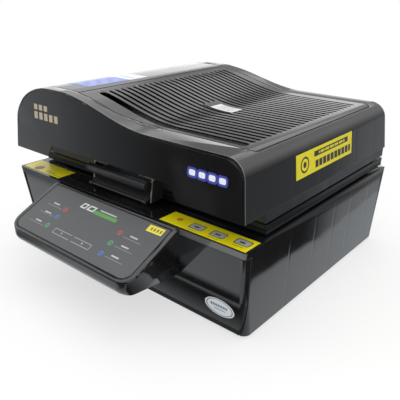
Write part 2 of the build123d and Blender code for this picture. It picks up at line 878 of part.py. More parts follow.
def make_vent_cover():
    cover = cover_skin() & cover_plan(vent_left, vent_right, cover_seam)
    middle = (slot_left + slot_right) / 2
    cutters = []
    for offset, width in slot_places():
        slot = SlotOverall(slot_right - slot_left, width)
        cutters.append(Pos(middle, front_y + offset, lid_z) * extrude(slot, amount=hump_height + overcut))
    return cover - cutters


def make_inner_skirt():
    """Four steel bands under the lid; between the corners they reach up inside its walls."""
    half = lid_width / 2 - frame_side_inset
    front = front_y + skirt_front_inset
    rear = back_y - skirt_back_inset
    upper = half - skirt_upper_inset
    top = lid_z + skirt_rise
    shoulder = lid_z - part_gap
    front_plate = block((-half, half), (front, front + skirt_thickness), (skirt_z, top))
    front_plate += block((-upper, upper), (front, front + skirt_thickness), (skirt_z, lid_z + skirt_front_rise))
    sides = []
    for side in (-1, 1):
        x_range = sorted((side * half, side * (half - skirt_thickness)))
        band = block(x_range, (front + skirt_thickness, rear - skirt_thickness), (skirt_z, shoulder))
        sides.append(band + block(x_range, (front + skirt_thickness, rear - skirt_corner_clear), (skirt_z, top)))
    back = block((-half, half), (rear - skirt_thickness, rear), (skirt_z, shoulder))
    inner = half - skirt_corner_clear
    back += block((-inner, inner), (rear - skirt_thickness, rear), (skirt_z, lid_z + leaf_thickness))
    return [front_plate, *sides, back]


def make_heat_liner():
    roof = lid_z + liner_rise
    front = front_y + skirt_front_inset + skirt_thickness
    rear = back_y - skirt_back_inset - skirt_thickness
    half = lid_width / 2 - frame_side_inset - skirt_thickness
    outer = RectangleRounded(chamber_width + 2 * liner_thickness, chamber_depth + 2 * liner_thickness, chamber_corner)
    inner = RectangleRounded(chamber_width, chamber_depth, chamber_corner - liner_thickness)
    liner = Pos(0, chamber_y, skirt_z) * extrude(outer, amount=roof - skirt_z)
    liner += block((-half, half), (front, rear), (skirt_z, skirt_z + liner_thickness))
    liner -= Pos(0, chamber_y, skirt_z - overcut) * extrude(inner, amount=roof - skirt_z - liner_thickness + overcut)
    liner -= rod((circulation_x, chamber_y, lid_z), (circulation_x, chamber_y, roof + overcut), 2 * shaft_radius)
    return liner - rod((probe_x, chamber_y, lid_z), (probe_x, chamber_y, roof + overcut), probe_radius)


def make_lid_seal():
    half = lid_width / 2 - frame_side_inset - seal_inset
    return mitred_ring(half, front_y + skirt_front_inset + seal_inset, back_y - skirt_back_inset - seal_inset,
                       seal_width, seal_z, skirt_z)


def make_insulation():
    """Blanket over the heat chamber, open where the motor and the probe pass through."""
    roof = lid_z + liner_rise
    low = skirt_z + liner_thickness
    clear_x = chamber_width + 2 * (liner_thickness + part_gap)
    clear_y = chamber_depth + 2 * (liner_thickness + part_gap)
    size = (clear_x + 2 * insulation, clear_y + 2 * insulation)
    pad = Pos(0, chamber_y, low) * extrude(RectangleRounded(*size, chamber_corner), amount=roof + insulation - low)
    pad -= Pos(0, chamber_y, low) * extrude(Rectangle(clear_x, clear_y), amount=roof - low)
    pad -= rod((circulation_x, chamber_y, roof - 1), (circulation_x, chamber_y, roof + 2 * insulation),
               motor_radius + motor_foot + part_gap)
    return pad - rod((probe_x, chamber_y, roof - 1), (probe_x, chamber_y, roof + 2 * insulation), 2 * probe_nut)


def heater_rows():
    first = chamber_y - heater_spacing * (heater_count - 1) / 2
    return [first + heater_spacing * index for index in range(heater_count)]


def make_heating_tubes():
    reach = chamber_width / 2 - holder_length / 2
    z = lid_z + heater_z
    return [rod((-reach, y, z), (reach, y, z), heater_radius) for y in heater_rows()]


def make_heater_holders():
    holders = []
    z = lid_z + heater_z
    for y in heater_rows():
        for side in (-1, 1):
            outer = side * chamber_width / 2
            x_range = sorted((outer, outer - side * holder_length))
            body = block(x_range, (y - holder_size / 2, y + holder_size / 2), (z - holder_size / 2, z + holder_size / 2))
            socket = rod((outer - side * 2 * holder_length, y, z), (outer - side * holder_length / 2, y, z), heater_radius)
            holders.append(body - socket)
    return holders


def make_circulation_motor():
    roof = lid_z + liner_rise
    foot = rod((circulation_x, chamber_y, roof), (circulation_x, chamber_y, roof + motor_foot),
               motor_radius + motor_foot)
    can = rod((circulation_x, chamber_y, roof), (circulation_x, chamber_y, roof + motor_height), motor_radius)
    bore = rod((circulation_x, chamber_y, roof - 1), (circulation_x, chamber_y, roof + motor_height / 2),
               shaft_radius + running_gap)
    return foot + can - bore


def make_circulation_impeller():
    top = lid_z + liner_rise - liner_thickness - impeller_drop
    low = top - impeller_height
    motor_mid = lid_z + liner_rise + motor_height / 2 - 1
    fan = rod((circulation_x, chamber_y, low), (circulation_x, chamber_y, motor_mid), shaft_radius)
    fan += rod((circulation_x, chamber_y, low), (circulation_x, chamber_y, top), hub_radius)
    for index in range(blade_count):
        blade = Rot(0, 0, 360 * index / blade_count) * Pos(impeller_radius / 2 + hub_radius / 4, 0, 0) * Rot(35, 0, 0)
        slab = Box(impeller_radius - hub_radius / 2, impeller_height, blade_thickness)
        fan += Pos(circulation_x, chamber_y, (low + top) / 2) * blade * slab
    return fan


def make_temperature_probe():
    roof = lid_z + liner_rise
    stem = rod((probe_x, chamber_y, roof - probe_length), (probe_x, chamber_y, roof + probe_nut), probe_radius)
    return stem + rod((probe_x, chamber_y, roof), (probe_x, chamber_y, roof + probe_nut / 2), probe_nut)


# ------------------------------------------------------------------ handle
handle_y = front_y + handle_front
handle_z = lid_z - handle_below


def handle_ends():
    half = handle_length / 2
    return handle_centre - half, handle_centre + half


def make_handle_bar():
    low, high = handle_ends()
    return rod((low, handle_y, handle_z), (high, handle_y, handle_z), handle_radius)


def make_handle_cheeks():
    """Bent steel side plates that carry the bar and are screwed to the skirt's front plate."""
    plate_y = front_y + skirt_front_inset
    top = lid_z + cheek_top
    low = lid_z - cheek_drop
    step_y = min(plate_y, frame_front - cheek_frame_gap)
    profile = [(plate_y, top), (plate_y, skirt_z), (step_y, skirt_z), (step_y, low),
               (front_y + cheek_front_bottom, low), (front_y + cheek_front_top, top)]
    cheeks = []
    for end, side in zip(handle_ends(), (-1, 1)):
        x_range = sorted((end, end + side * cheek_thickness))
        cheek = across_x(profile, *x_range)
        cheek += rod((x_range[0], handle_y, handle_z), (x_range[1], handle_y, handle_z), handle_radius)
        neck = block(x_range, (handle_y, front_y + cheek_front_top),
                     (handle_z - handle_radius, handle_z + handle_radius / 2))
        tab_x = sorted((end, end - side * cheek_tab))
        tab_top = top - cheek_tab_drop
        tab = block(tab_x, (front_y + cheek_front_top, front_y + cheek_front_top + cheek_tab_depth),
                    (tab_top - cheek_thickness, tab_top))
        foot = block(tab_x, (plate_y - cheek_thickness, plate_y), (skirt_z + leaf_edge, lid_z - leaf_edge))
        cheeks.append(cheek + neck + tab + foot)
    return cheeks


def make_handle_lip():
    """Sloping plate between the cheeks' lower ends, with a rolled front edge and a knob at each end."""
    low, high = handle_ends()
    back_y_edge, back_z = front_y + lip_back[0], lid_z - lip_back[1]
    edge_y, edge_z = front_y + lip_front[0], lid_z - lip_front[1]
    lip = across_x([(back_y_edge, back_z), (edge_y, edge_z), (edge_y, edge_z - lip_thickness),
                    (back_y_edge, back_z - lip_thickness)], low, high)
    roll_z = edge_z - lip_thickness / 2
    lip += rod((low, edge_y, roll_z), (high, edge_y, roll_z), lip_roll)
    for end, side in zip((low, high), (1, -1)):
        lip += rod((end, edge_y, roll_z), (end + side * lip_knob_length, edge_y, roll_z), lip_knob_radius)
    return lip


def make_handle_screws():
    screws = []
    for end, side in zip(handle_ends(), (-1, 1)):
        x = end + side * cheek_thickness
        screws.append(rod((x, handle_y, handle_z), (x + side * handle_screw_height, handle_y, handle_z),
                          handle_screw_radius))
    return screws


# ------------------------------------------------------------------ control box
control_angle = radians(control_slope)
control_back_y = front_y - control_back_gap
control_back_z = ledge_z - control_below_ledge
control_front_y = front_y - control_reach
control_length = (control_back_y - control_front_y) / cos(control_angle)
control_nose_z = control_back_z - (control_back_y - control_front_y) * tan(control_angle)


def control_plane(drop=0.0):
    """Plane of the touch panel, lowered square to itself by a drop."""
    away = Vector(0, -sin(control_angle), cos(control_angle))
    corner = Vector(control_centre, control_back_y, control_back_z)
    return Plane(origin=corner - away * drop, x_dir=(1, 0, 0), z_dir=away)


def control_outline(inset, end_inset=None, tail=0.0):
    """Panel outline in its own plane: small back corners, large front ones, or a square tail."""
    end = inset if end_inset is None else end_inset
    half = control_width / 2 - inset
    back = tail if tail else -end
    front = end - control_length
    face = make_face(Polyline((-half, back), (half, back), (half, front), (-half, front), close=True))
    ordered = face.vertices().sort_by(Axis.Y)
    face = fillet(ordered[:2], max(control_corner - inset, control_corner / 4))
    if tail:
        return face
    return fillet(face.vertices().sort_by(Axis.Y)[-2:], control_back_corner)


def control_block(inset, drop):
    """The box's form below the bezel, taken in by an inset, its nose rounded underneath."""
    rear = front_y + cover_return
    column = control_plane() * control_outline(inset, tail=2 * cover_return)
    column = extrude(column, amount=2 * ledge_z, dir=(0, 0, -1), both=True)
    low = control_nose_z - nose_height + inset
    fall = underside_fall * (rear - control_front_y) / control_reach
    top = control_back_z - drop / cos(control_angle)
    front = control_front_y - overcut
    slope_end = top - (control_back_y - front) * tan(control_angle)
    side = across_x([(front, low), (rear, low - fall), (rear, top), (control_back_y, top), (front, slope_end)],
                    -base_width / 2, base_width / 2)
    half = control_width / 2 - inset
    taper = control_side_taper * ledge_z
    walls = across_y([(control_centre - half, ledge_z), (control_centre + half, ledge_z),
                      (control_centre + half - taper, 0), (control_centre - half + taper, 0)],
                     front, rear + overcut)
    body = column & side & walls
    nose = [e for e in body.edges() if e.center().Y < control_front_y + control_corner
            and e.center().Z < low + control_wall and abs(e.tangent_at(0.5).Z) < 0.5]
    return fillet(nose, nose_radius - inset)


def base_solid_front():
    """What the base fills at its front: ledge rim, and cover taken in to its flat panel."""
    zone = block((-base_width, base_width), (front_y - overcut, back_y),
                 (ledge_z - strip_height - seam_gap, ledge_z + overcut))
    return (base_block(0, foot_height, ledge_z) & zone) + base_block(panel_recess, foot_height, ledge_z)


def make_control_housing():
    outer = control_block(0, bezel_thickness)
    inner = control_block(control_wall, bezel_thickness - overcut)
    return outer - inner - base_solid_front()


def make_control_bezel():
    ring = extrude(control_plane() * control_outline(0), amount=-bezel_thickness)
    seat = control_plane(overlay_thickness) * control_outline(bezel_width, bezel_end)
    window = control_plane() * control_outline(bezel_width + overlay_lip, bezel_end + overlay_lip)
    return ring - extrude(seat, amount=2 * overlay_thickness) - extrude(window, amount=-2 * bezel_thickness)


def make_control_overlay():
    outline = control_outline(bezel_width + overlay_gap, bezel_end + overlay_gap)
    return extrude(control_plane(overlay_thickness) * outline, amount=overlay_thickness)


def board_plane():
    return control_plane(board_drop + overlay_thickness)


def make_control_board():
    """The board and the four posts that hang it under the overlay."""
    board = extrude(board_plane() * control_outline(board_margin), amount=-board_thickness)
    inset = board_margin + board_post_inset
    posts = []
    for x in (inset - control_width / 2, control_width / 2 - inset):
        for y in (-inset, inset - control_length):
            post = board_plane() * Pos(x, y, board_drop / 2) * Cylinder(board_post_radius, board_drop)
            posts.append(post)
    return [board, *posts]


def make_control_display():
    """Digit display that stands on the board and shines through the overlay."""
    return board_plane() * Pos(0, -control_length / 2, display_size[2] / 2) * Box(*display_size)


# ------------------------------------------------------------------ rear wall pieces
def rear_face_y(z):
    _, _, back, _ = base_outline(z)
    return back


rear_wall_y = rear_face_y(rear_port_z)


def around(x, size, grow=0.0):
    """X and Z ranges of a rear plate centred on x at the height of the rear ports."""
    half_x = size[0] / 2 + grow
    half_z = size[1] / 2 + grow
    return (x - half_x, x + half_x), (rear_port_z - half_z, rear_port_z + half_z)


def plate_seat(half_height):
    """Y of a rear plate's inner face, clear of the leaning wall over its whole height."""
    return rear_face_y(rear_port_z + half_height) + plate_clearance


def make_power_inlet():
    seat = plate_seat(inlet_size[1] / 2 + inlet_rim[1])
    body_x, body_z = around(inlet_x, inlet_size, -part_gap)
    body = block(body_x, (rear_wall_y - inlet_depth, seat + inlet_flange / 2), body_z)
    flange_x, flange_z = around(inlet_x, (inlet_size[0] + 2 * inlet_rim[0], inlet_size[1] + 2 * inlet_rim[1]))
    flange = block(flange_x, (seat, seat + inlet_flange), flange_z)
    socket_x, socket_z = around(inlet_x, socket_size)
    floor_y = seat + inlet_flange - socket_size[2]
    inlet = body + flange - block(socket_x, (floor_y, seat + overcut), socket_z)
    for step in (-1, 0, 1):
        contact_x, contact_z = around(inlet_x + step * contact_pitch, (contact_size[0], contact_size[2]))
        inlet += block(contact_x, (floor_y - contact_size[0], floor_y + contact_size[1]), contact_z)
    return inlet


switch_seat = plate_seat(switch_size[1] / 2 + switch_rim)
switch_pivot_y = switch_seat - switch_pivot_depth


def make_switch_body():
    body_x, body_z = around(switch_x, switch_size, -part_gap)
    body = block(body_x, (switch_seat - switch_depth, switch_seat + switch_rim / 2), body_z)
    flange_x, flange_z = around(switch_x, switch_size, switch_rim)
    flange = block(flange_x, (switch_seat, switch_seat + switch_rim), flange_z)
    well_x, well_z = around(switch_x, switch_size, -switch_wall)
    well = block(well_x, (switch_seat - switch_well, switch_seat + overcut), well_z)
    axle_x, _ = around(switch_x, switch_size, -switch_wall / 2)
    axle = rod((axle_x[0], switch_pivot_y, rear_port_z), (axle_x[1], switch_pivot_y, rear_port_z), switch_axle_radius)
    return body + flange - well - axle


def make_switch_rocker():
    """Rocker in its off position: its lower half is pressed in."""
    body_x, _ = around(switch_x, switch_size, -switch_wall - part_gap)
    half_z = switch_size[1] / 2 - switch_wall - rocker_end_gap
    tilt = half_z * tan(radians(rocker_throw / 2))
    face = switch_seat + rocker_rise
    inner = switch_pivot_y - rocker_rise
    body = across_x([(inner, rear_port_z - half_z), (face - tilt, rear_port_z - half_z),
                     (face - rocker_dish, rear_port_z), (face + tilt, rear_port_z + half_z),
                     (inner, rear_port_z + half_z)], *body_x)
    axle_x, _ = around(switch_x, switch_size, -switch_wall / 2 - part_gap)
    return body + rod((axle_x[0], switch_pivot_y, rear_port_z), (axle_x[1], switch_pivot_y, rear_port_z),
                      switch_axle_radius - running_gap)


fan_back_y = rear_wall_y - base_wall - fan_setback
fan_front_y = fan_back_y - fan_depth


def along_fan(start, length, radius):
    """A rod on the cooling fan's axis, starting this far behind the fan's front face."""
    return rod((fan_x, fan_front_y + start, rear_port_z), (fan_x, fan_front_y + start + length, rear_port_z), radius)


def make_fan_frame():
    half = fan_size / 2
    frame = block((fan_x - half, fan_x + half), (fan_front_y, fan_back_y), (rear_port_z - half, rear_port_z + half))
    frame -= along_fan(-overcut, fan_depth + 2 * overcut, fan_bore)
    frame += along_fan(0, fan_hub_depth, fan_hub_radius)
    reach = fan_bore - fan_hub_radius + fan_arm[0]
    arm = Pos(fan_hub_radius + reach / 2 - fan_arm[0] / 2, 0, 0) * Box(reach, fan_arm[0], fan_arm[1])
    for angle in (0, 90, 180, 270):
        frame += Pos(fan_x, fan_front_y + fan_arm[0] / 2, rear_port_z) * Rot(0, angle, 0) * arm
    return frame - along_fan(fan_arm[0] / 2, fan_depth, fan_axle_radius + running_gap)


def make_fan_rotor():
    hub_start = fan_hub_depth + part_gap
    hub_radius_here = fan_hub_radius - part_gap
    rotor = along_fan(hub_start, fan_depth - hub_start - fan_setback, hub_radius_here)
    rotor += along_fan(fan_arm[0] / 2 + part_gap, hub_start, fan_axle_radius)
    tip = fan_bore - fan_blade_tip_gap
    blade = Pos((hub_radius_here + tip) / 2, 0, 0) * Rot(fan_blade_pitch, 0, 0) * \
        Box(tip - hub_radius_here + fan_axle_radius, *fan_blade)
    for index in range(fan_blades):
        turn = Rot(0, 360 * index / fan_blades, 0)
        rotor += Pos(fan_x, fan_front_y + fan_depth / 2 + fan_axle_radius, rear_port_z) * turn * blade
    return rotor


def make_fan_guard():
    """Wire rings on two crossed wires."""
    outer = fan_bore + guard_wire
    radii = [mix(guard_inner_radius, outer, index / (guard_rings - 1)) for index in range(guard_rings)]
    grille = Torus(radii[0], guard_wire)
    for radius in radii[1:]:
        grille += Torus(radius, guard_wire)
    for angle in (45, 135):
        grille += Rot(0, 0, angle) * Rot(0, 90, 0) * Cylinder(guard_wire, 2 * outer)
    seat = plate_seat(outer + guard_wire)
    return Pos(fan_x, seat + guard_wire, rear_port_z) * Rot(90, 0, 0) * grille


# ------------------------------------------------------------------ equipment under the tray
floor_z = foot_height + plate_thickness
pump_axis_z = floor_z + pump_axis_height
equipment_y = front_y + pump_y
pump_start = pump_x - pump_tail
pump_head_start = pump_start + pump_length
pump_port = (pump_head_start + pump_head_size[0] / 2, equipment_y - pump_head_size[1] / 2,
             pump_axis_z + pump_port_height)
barb_radius = hose_radius - hose_wall


def along_pump(start, end, radius):
    """A rod on the pump's axis between two distances from the motor's tail."""
    return rod((pump_start + start, equipment_y, pump_axis_z), (pump_start + end, equipment_y, pump_axis_z), radius)


def make_pump_cradle():
    half_x = cradle_size[0] / 2
    half_y = cradle_size[1] / 2
    low = floor_z + cradle_lift
    top = low + cradle_plate
    plate = block((pump_x - half_x, pump_x + half_x), (equipment_y - half_y, equipment_y + half_y), (low, top))
    for i in (-1, 1):
        for j in (-1, 1):
            x = pump_x + i * (half_x - cradle_inset)
            y = equipment_y + j * (half_y - cradle_inset)
            plate += rod((x, y, floor_z), (x, y, low), grommet_radius)
    saddle = block((pump_x - saddle_size[0] / 2, pump_x + saddle_size[0] / 2 - cradle_inset),
                   (equipment_y - saddle_size[1] / 2, equipment_y + saddle_size[1] / 2), (top, pump_axis_z))
    return plate + saddle - along_pump(-pump_length, 2 * pump_length, pump_radius)


def make_pump_motor():
    return along_pump(0, pump_length, pump_radius) - along_pump(-overcut, pump_bore, shaft_radius + running_gap)


def make_pump_fan():
    """Cooling disc on the tail of the pump's shaft."""
    disc_end = -tail_fan_gap
    disc_start = disc_end - tail_fan_disc
    blade_end = disc_start - tail_fan_blade[0]
    fan = along_pump(blade_end, pump_bore - part_gap, shaft_radius)
    fan += along_pump(disc_start, disc_end, pump_radius - tail_fan_rim)
    height = pump_radius - 2 * tail_fan_rim - shaft_radius
    blade = Pos(0, 0, shaft_radius + height / 2) * Box(tail_fan_blade[0], tail_fan_blade[1], height + tail_fan_blade[1])
    for index in range(tail_fan_blades):
        turn = Rot(360 * index / tail_fan_blades, 0, 0)
        fan += Pos(pump_start + (disc_start + blade_end) / 2, equipment_y, pump_axis_z) * turn * blade
    return fan


def make_pump_head():
    low = pump_axis_z - pump_radius
    body = block((pump_head_start, pump_head_start + pump_head_size[0]),
                 (equipment_y - pump_head_size[1] / 2, equipment_y + pump_head_size[1] / 2),
                 (low, low + pump_head_size[2]))
    x, y, z = pump_port
    return body + rod((x, y - barb_length, z), (x, y, z), barb_radius)


valve_x = tray_port[0] + valve_side_offset
valve_y = chamber_y - valve_front_offset
valve_low = floor_z + spacer_height
valve_top = valve_low + valve_size[2]
valve_port = (valve_x - valve_size[0] / 2, valve_y, valve_low + valve_port_height)
valve_riser = (valve_x, valve_y + valve_riser_offset, valve_top)


def make_solenoid_valve():
    body = block((valve_x - valve_size[0] / 2, valve_x + valve_size[0] / 2),
                 (valve_y - valve_size[1] / 2, valve_y + valve_size[1] / 2), (valve_low, valve_top))
    foot = block((valve_x - valve_foot[0] / 2, valve_x + valve_foot[0] / 2),
                 (valve_y - valve_foot[1] / 2, valve_y + valve_foot[1] / 2), (floor_z, valve_low))
    x, y, z = valve_riser
    riser = rod((x, y, z), (x, y, z + barb_length), barb_radius)
    x, y, z = valve_port
    return body + foot + riser + rod((x - barb_length, y, z), (x, y, z), barb_radius)


def hose(points):
    """A rubber hose along straight runs joined by round bends."""
    path = FilletPolyline(*points, radius=hose_bend)
    start = Plane(origin=path @ 0, z_dir=path % 0)
    tube = sweep(start * Circle(hose_radius), path=path)
    return tube - sweep(start * Circle(barb_radius + running_gap), path=path)


def make_tray_hose():
    """From the port under the tray down to the valve's riser."""
    x, y = tray_port
    start = tray_floor_z - hose_end_gap
    riser_x, riser_y, riser_z = valve_riser
    end = riser_z + hose_end_gap
    run = (start - end) / 2
    return hose([(x, y, start), (x, y, start - run), (riser_x, riser_y, end + run), (riser_x, riser_y, end)])


def make_tray_nipple():
    x, y = tray_port
    top = tray_floor_z + tray_flange
    nut_radius, nut_height = nipple_nut
    stem = rod((x, y, tray_floor_z - nipple_drop), (x, y, top + nut_height), barb_radius)
    return stem + rod((x, y, top), (x, y, top + nut_height), nut_radius)


def make_pump_hose():
    """From the valve's outlet round to the pump head's inlet."""
    x, y, z = pump_port
    start_x, start_y, start_z = valve_port
    run = 2 * barb_length + hose_bend
    return hose([(start_x - hose_end_gap, start_y, start_z), (start_x - run, start_y, start_z),
                 (start_x - run, start_y + run, start_z), (x, y - run, z), (x, y - hose_end_gap, z)])


def spacers(x, y, size):
    """Four spacers that lift a board off the bottom plate."""
    reach_x = size[0] / 2 - spacer_inset
    reach_y = size[1] / 2 - spacer_inset
    return [rod((x + i * reach_x, y + j * reach_y, floor_z), (x + i * reach_x, y + j * reach_y, floor_z + spacer_height),
                spacer_radius) for i in (-1, 1) for j in (-1, 1)]


def standing(x, y, size, low):
    """A box of a given size centred on a point, standing at a height."""
    return block((x - size[0] / 2, x + size[0] / 2), (y - size[1] / 2, y + size[1] / 2), (low, low + size[2]))


def make_power_board():
    """Board on spacers, with its capacitors, relays and mains filter."""
    x = board_at[0]
    y = front_y + board_at[1]
    low = floor_z + spacer_height
    top = low + board_size[2]
    board = standing(x, y, board_size, low)
    for spacer in spacers(x, y, board_size):
        board += spacer
    radius, height = capacitor_size
    pieces = [board]
    pieces += [rod((x + step, y + capacitor_y, top), (x + step, y + capacitor_y, top + height), radius)
               for step in capacitor_x]
    pieces += [standing(x + step, y + relay_block_y, relay_block, top) for step in relay_block_x]
    return pieces + [standing(x + filter_at[0], y + filter_at[1], filter_block, top)]


def make_relay_heatsink():
    x = heatsink_at[0]
    y = front_y + heatsink_at[1]
    length, width, height = heatsink_size
    sink = standing(x, y, (length, width, heatsink_base), floor_z + height - heatsink_base)
    for index in range(heatsink_fins):
        offset = mix(heatsink_fin - width, width - heatsink_fin, index / (heatsink_fins - 1)) / 2
        sink += standing(x, y + offset, (length, heatsink_fin, height), floor_z)
    return sink


def make_solid_state_relay():
    return standing(heatsink_at[0], front_y + heatsink_at[1], relay_size, floor_z + heatsink_size[2])


def make_transformer():
    """Laminated core with its coil round the middle limb."""
    x = transformer_at[0]
    y = front_y + transformer_at[1]
    length, width, height = transformer_size
    coil_x = length - 2 * transformer_limb
    coil_z = height - 2 * transformer_limb
    core = standing(x, y, transformer_size, floor_z)
    core -= standing(x, y, (coil_x, 2 * width, coil_z), floor_z + transformer_limb)
    return core + standing(x, y, (coil_x, width + 2 * transformer_limb, coil_z), floor_z + transformer_limb)


# ------------------------------------------------------------------ label blanks
def ledge_label(x_range, y_range):
    return block(x_range, (front_y + y_range[0], front_y + y_range[1]), (ledge_z, ledge_z + label_thickness))


def make_base_labels():
    """Two warning-coloured blanks on the ledge and an oval badge on the front cover."""
    skin = base_block(-label_thickness, foot_height, ledge_z) - base_block(0, foot_height, ledge_z)
    x, z = badge_at
    face = Plane(origin=(x, front_y + lid_depth / 4, foot_height + z), x_dir=(1, 0, 0), z_dir=(0, -1, 0))
    badge = skin & extrude(face * Ellipse(*badge_radii), amount=lid_depth / 2)
    return [ledge_label(*left_ledge_label), ledge_label(*right_ledge_label), badge]


def lid_label(x_range, y_range, z_range, thickness):
    """A thin plate that lies on the lid's outside within a box."""
    zone = block(x_range, (front_y + y_range[0], front_y + y_range[1]), (lid_z + z_range[0], lid_z + z_range[1]))
    return (lid_block(-thickness) - lid_block(0)) & zone


def make_lid_labels():
    """Blank on the right side, tall blank on the hump, and a raised plate beside the slots."""
    above = (shoulder_height, 2 * hump_height)
    return [lid_label((lid_width / 4, lid_width), side_label_y, side_label_z, label_thickness),
            lid_label(hump_label_x, hump_label_y, above, label_thickness),
            lid_label(nameplate_x, nameplate_y, above, plate_label_thickness)]


# ------------------------------------------------------------------ write every node
NODES = {
    "base_shell": make_base_shell,
    "base_front_cover": make_base_front_cover,
    "base_front_panel": make_base_front_panel,
    "bottom_plate": make_bottom_plate,
    "rubber_feet": make_feet,
    "bottom_screws": make_bottom_screws,
    "vacuum_tray": make_vacuum_tray,
    "perforated_platen": make_platen,
    "platen_rails": make_platen_rails,
    "tray_gasket": make_tray_gasket,
    "membrane_frame_lower": lambda: make_frame_bars(frame_z, membrane_z),
    "silicone_membrane": make_membrane,
    "membrane_frame_upper": make_frame_upper,
    "membrane_frame_screws": make_frame_screws,
    "membrane_frame_hinge_leaves": make_frame_leaves,
    "hinge_base_brackets": make_base_brackets,
    "hinge_pins": make_hinge_pins,
    "lid_hinge_leaves": make_lid_leaves,
    "lid_shell": make_lid_shell,
    "lid_front_panel": make_lid_front_panel,
    "lid_hump_cover": make_hump_cover,
    "lid_vent_cover": make_vent_cover,
    "lid_inner_skirt": make_inner_skirt,
    "heat_chamber_liner": make_heat_liner,
    "lid_seal": make_lid_seal,
    "lid_insulation": make_insulation,
    "heating_tubes": make_heating_tubes,
    "heater_holders": make_heater_holders,
    "circulation_motor": make_circulation_motor,
    "circulation_impeller": make_circulation_impeller,
    "temperature_probe": make_temperature_probe,
    "handle_bar": make_handle_bar,
    "handle_cheeks": make_handle_cheeks,
    "handle_lip": make_handle_lip,
    "handle_screws": make_handle_screws,
    "control_housing": make_control_housing,
    "control_bezel": make_control_bezel,
    "control_overlay": make_control_overlay,
    "control_board": make_control_board,
    "control_display": make_control_display,
    "power_inlet": make_power_inlet,
    "power_switch_body": make_switch_body,
    "power_switch_rocker": make_switch_rocker,
    "cooling_fan_frame": make_fan_frame,
    "cooling_fan_rotor": make_fan_rotor,
    "cooling_fan_guard": make_fan_guard,
    "pump_cradle": make_pump_cradle,
    "pump_motor": make_pump_motor,
    "pump_tail_fan": make_pump_fan,
    "pump_head": make_pump_head,
    "solenoid_valve": make_solenoid_valve,
    "tray_nipple": make_tray_nipple,
    "tray_hose": make_tray_hose,
    "pump_hose": make_pump_hose,
    "power_board": make_power_board,
    "relay_heatsink": make_relay_heatsink,
    "solid_state_relay": make_solid_state_relay,
    "transformer": make_transformer,
    "base_labels": make_base_labels,
    "lid_labels": make_lid_labels,
}

for node_name, build in NODES.items():
    pieces = build()
    save(node_name, *(pieces if isinstance(pieces, list) else [pieces]))
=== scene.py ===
"""Table-top vacuum sublimation press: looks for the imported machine, one operator for each group of pieces."""
import functools
import json
import math
import operator

import bmesh
import bpy
from mathutils import Matrix, Vector

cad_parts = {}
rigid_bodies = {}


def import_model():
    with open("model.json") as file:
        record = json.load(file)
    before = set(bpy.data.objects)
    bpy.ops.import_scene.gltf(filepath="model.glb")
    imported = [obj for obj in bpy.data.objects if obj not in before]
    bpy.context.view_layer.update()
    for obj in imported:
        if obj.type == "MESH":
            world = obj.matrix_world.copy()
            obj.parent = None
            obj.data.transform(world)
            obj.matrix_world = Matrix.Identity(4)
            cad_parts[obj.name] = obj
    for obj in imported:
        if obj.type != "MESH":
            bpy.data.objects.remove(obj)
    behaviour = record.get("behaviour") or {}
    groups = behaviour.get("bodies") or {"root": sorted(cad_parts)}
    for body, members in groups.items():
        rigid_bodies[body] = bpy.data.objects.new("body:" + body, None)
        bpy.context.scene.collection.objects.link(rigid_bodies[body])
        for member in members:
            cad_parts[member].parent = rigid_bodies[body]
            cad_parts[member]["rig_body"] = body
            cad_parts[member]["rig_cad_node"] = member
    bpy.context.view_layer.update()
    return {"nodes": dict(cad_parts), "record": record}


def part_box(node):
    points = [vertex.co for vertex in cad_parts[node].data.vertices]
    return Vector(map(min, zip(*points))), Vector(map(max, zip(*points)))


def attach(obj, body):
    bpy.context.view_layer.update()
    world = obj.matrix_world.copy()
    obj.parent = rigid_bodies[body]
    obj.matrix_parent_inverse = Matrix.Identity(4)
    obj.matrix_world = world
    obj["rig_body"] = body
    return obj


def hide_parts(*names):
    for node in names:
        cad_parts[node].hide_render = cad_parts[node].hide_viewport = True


bl_info = {
    "name": "Vacuum sublimation press",
    "version": (1, 0, 0),
    "blender": (4, 5, 0),
    "location": "View3D > Sidebar > Press",
    "description": "Mouldings, prints, fasteners and stage of a table-top vacuum press",
    "category": "Object",
}

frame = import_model()
nodes = frame["nodes"]

MM = 0.001
lid_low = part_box("lid_shell")[0]
base_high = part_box("base_shell")[1]
bezel_low, bezel_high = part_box("control_bezel")
panel_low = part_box("base_front_panel")[0]
cover_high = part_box("base_front_cover")[1]
hump_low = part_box("lid_hump_cover")[0]
vent_low, vent_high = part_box("lid_vent_cover")

# the lid's lower front edge, the ledge, and the front cover's ends
lid_front = lid_low.y
lid_z = lid_low.z
front_lean = 0.07
ledge_z = base_high.z
return_y = cover_high.y
cover_top = cover_high.z
rib_rows = [lid_front + offset * MM for offset in (127, 208, 276, 341, 419)]

# the sloping control panel: its upper middle, and the touch film's seat in millimetres along it
slope = math.radians(25)
bezel_thickness = 4 * MM
bezel_width = 9
overlay_x = (bezel_low.x + bezel_high.x) / 2
overlay_y = bezel_high.y - bezel_thickness * math.sin(slope)
overlay_z = bezel_high.z
seat_half = (bezel_high.x - bezel_low.x) / 2 / MM - bezel_width
seat_back = 5.5
seat_front = (overlay_y - bezel_low.y) / math.cos(slope) / MM - seat_back

# the camera, and its mirror images in the base's side wall and in its front
eye = Vector((0.63576, -0.71009, 0.50709))
side_wall = 0.28
front_wall = -0.197
side_mirror = 2 * side_wall - eye.x
front_mirror = 2 * front_wall - eye.y

# soft edge of a print, in millimetres
fine = 0.25


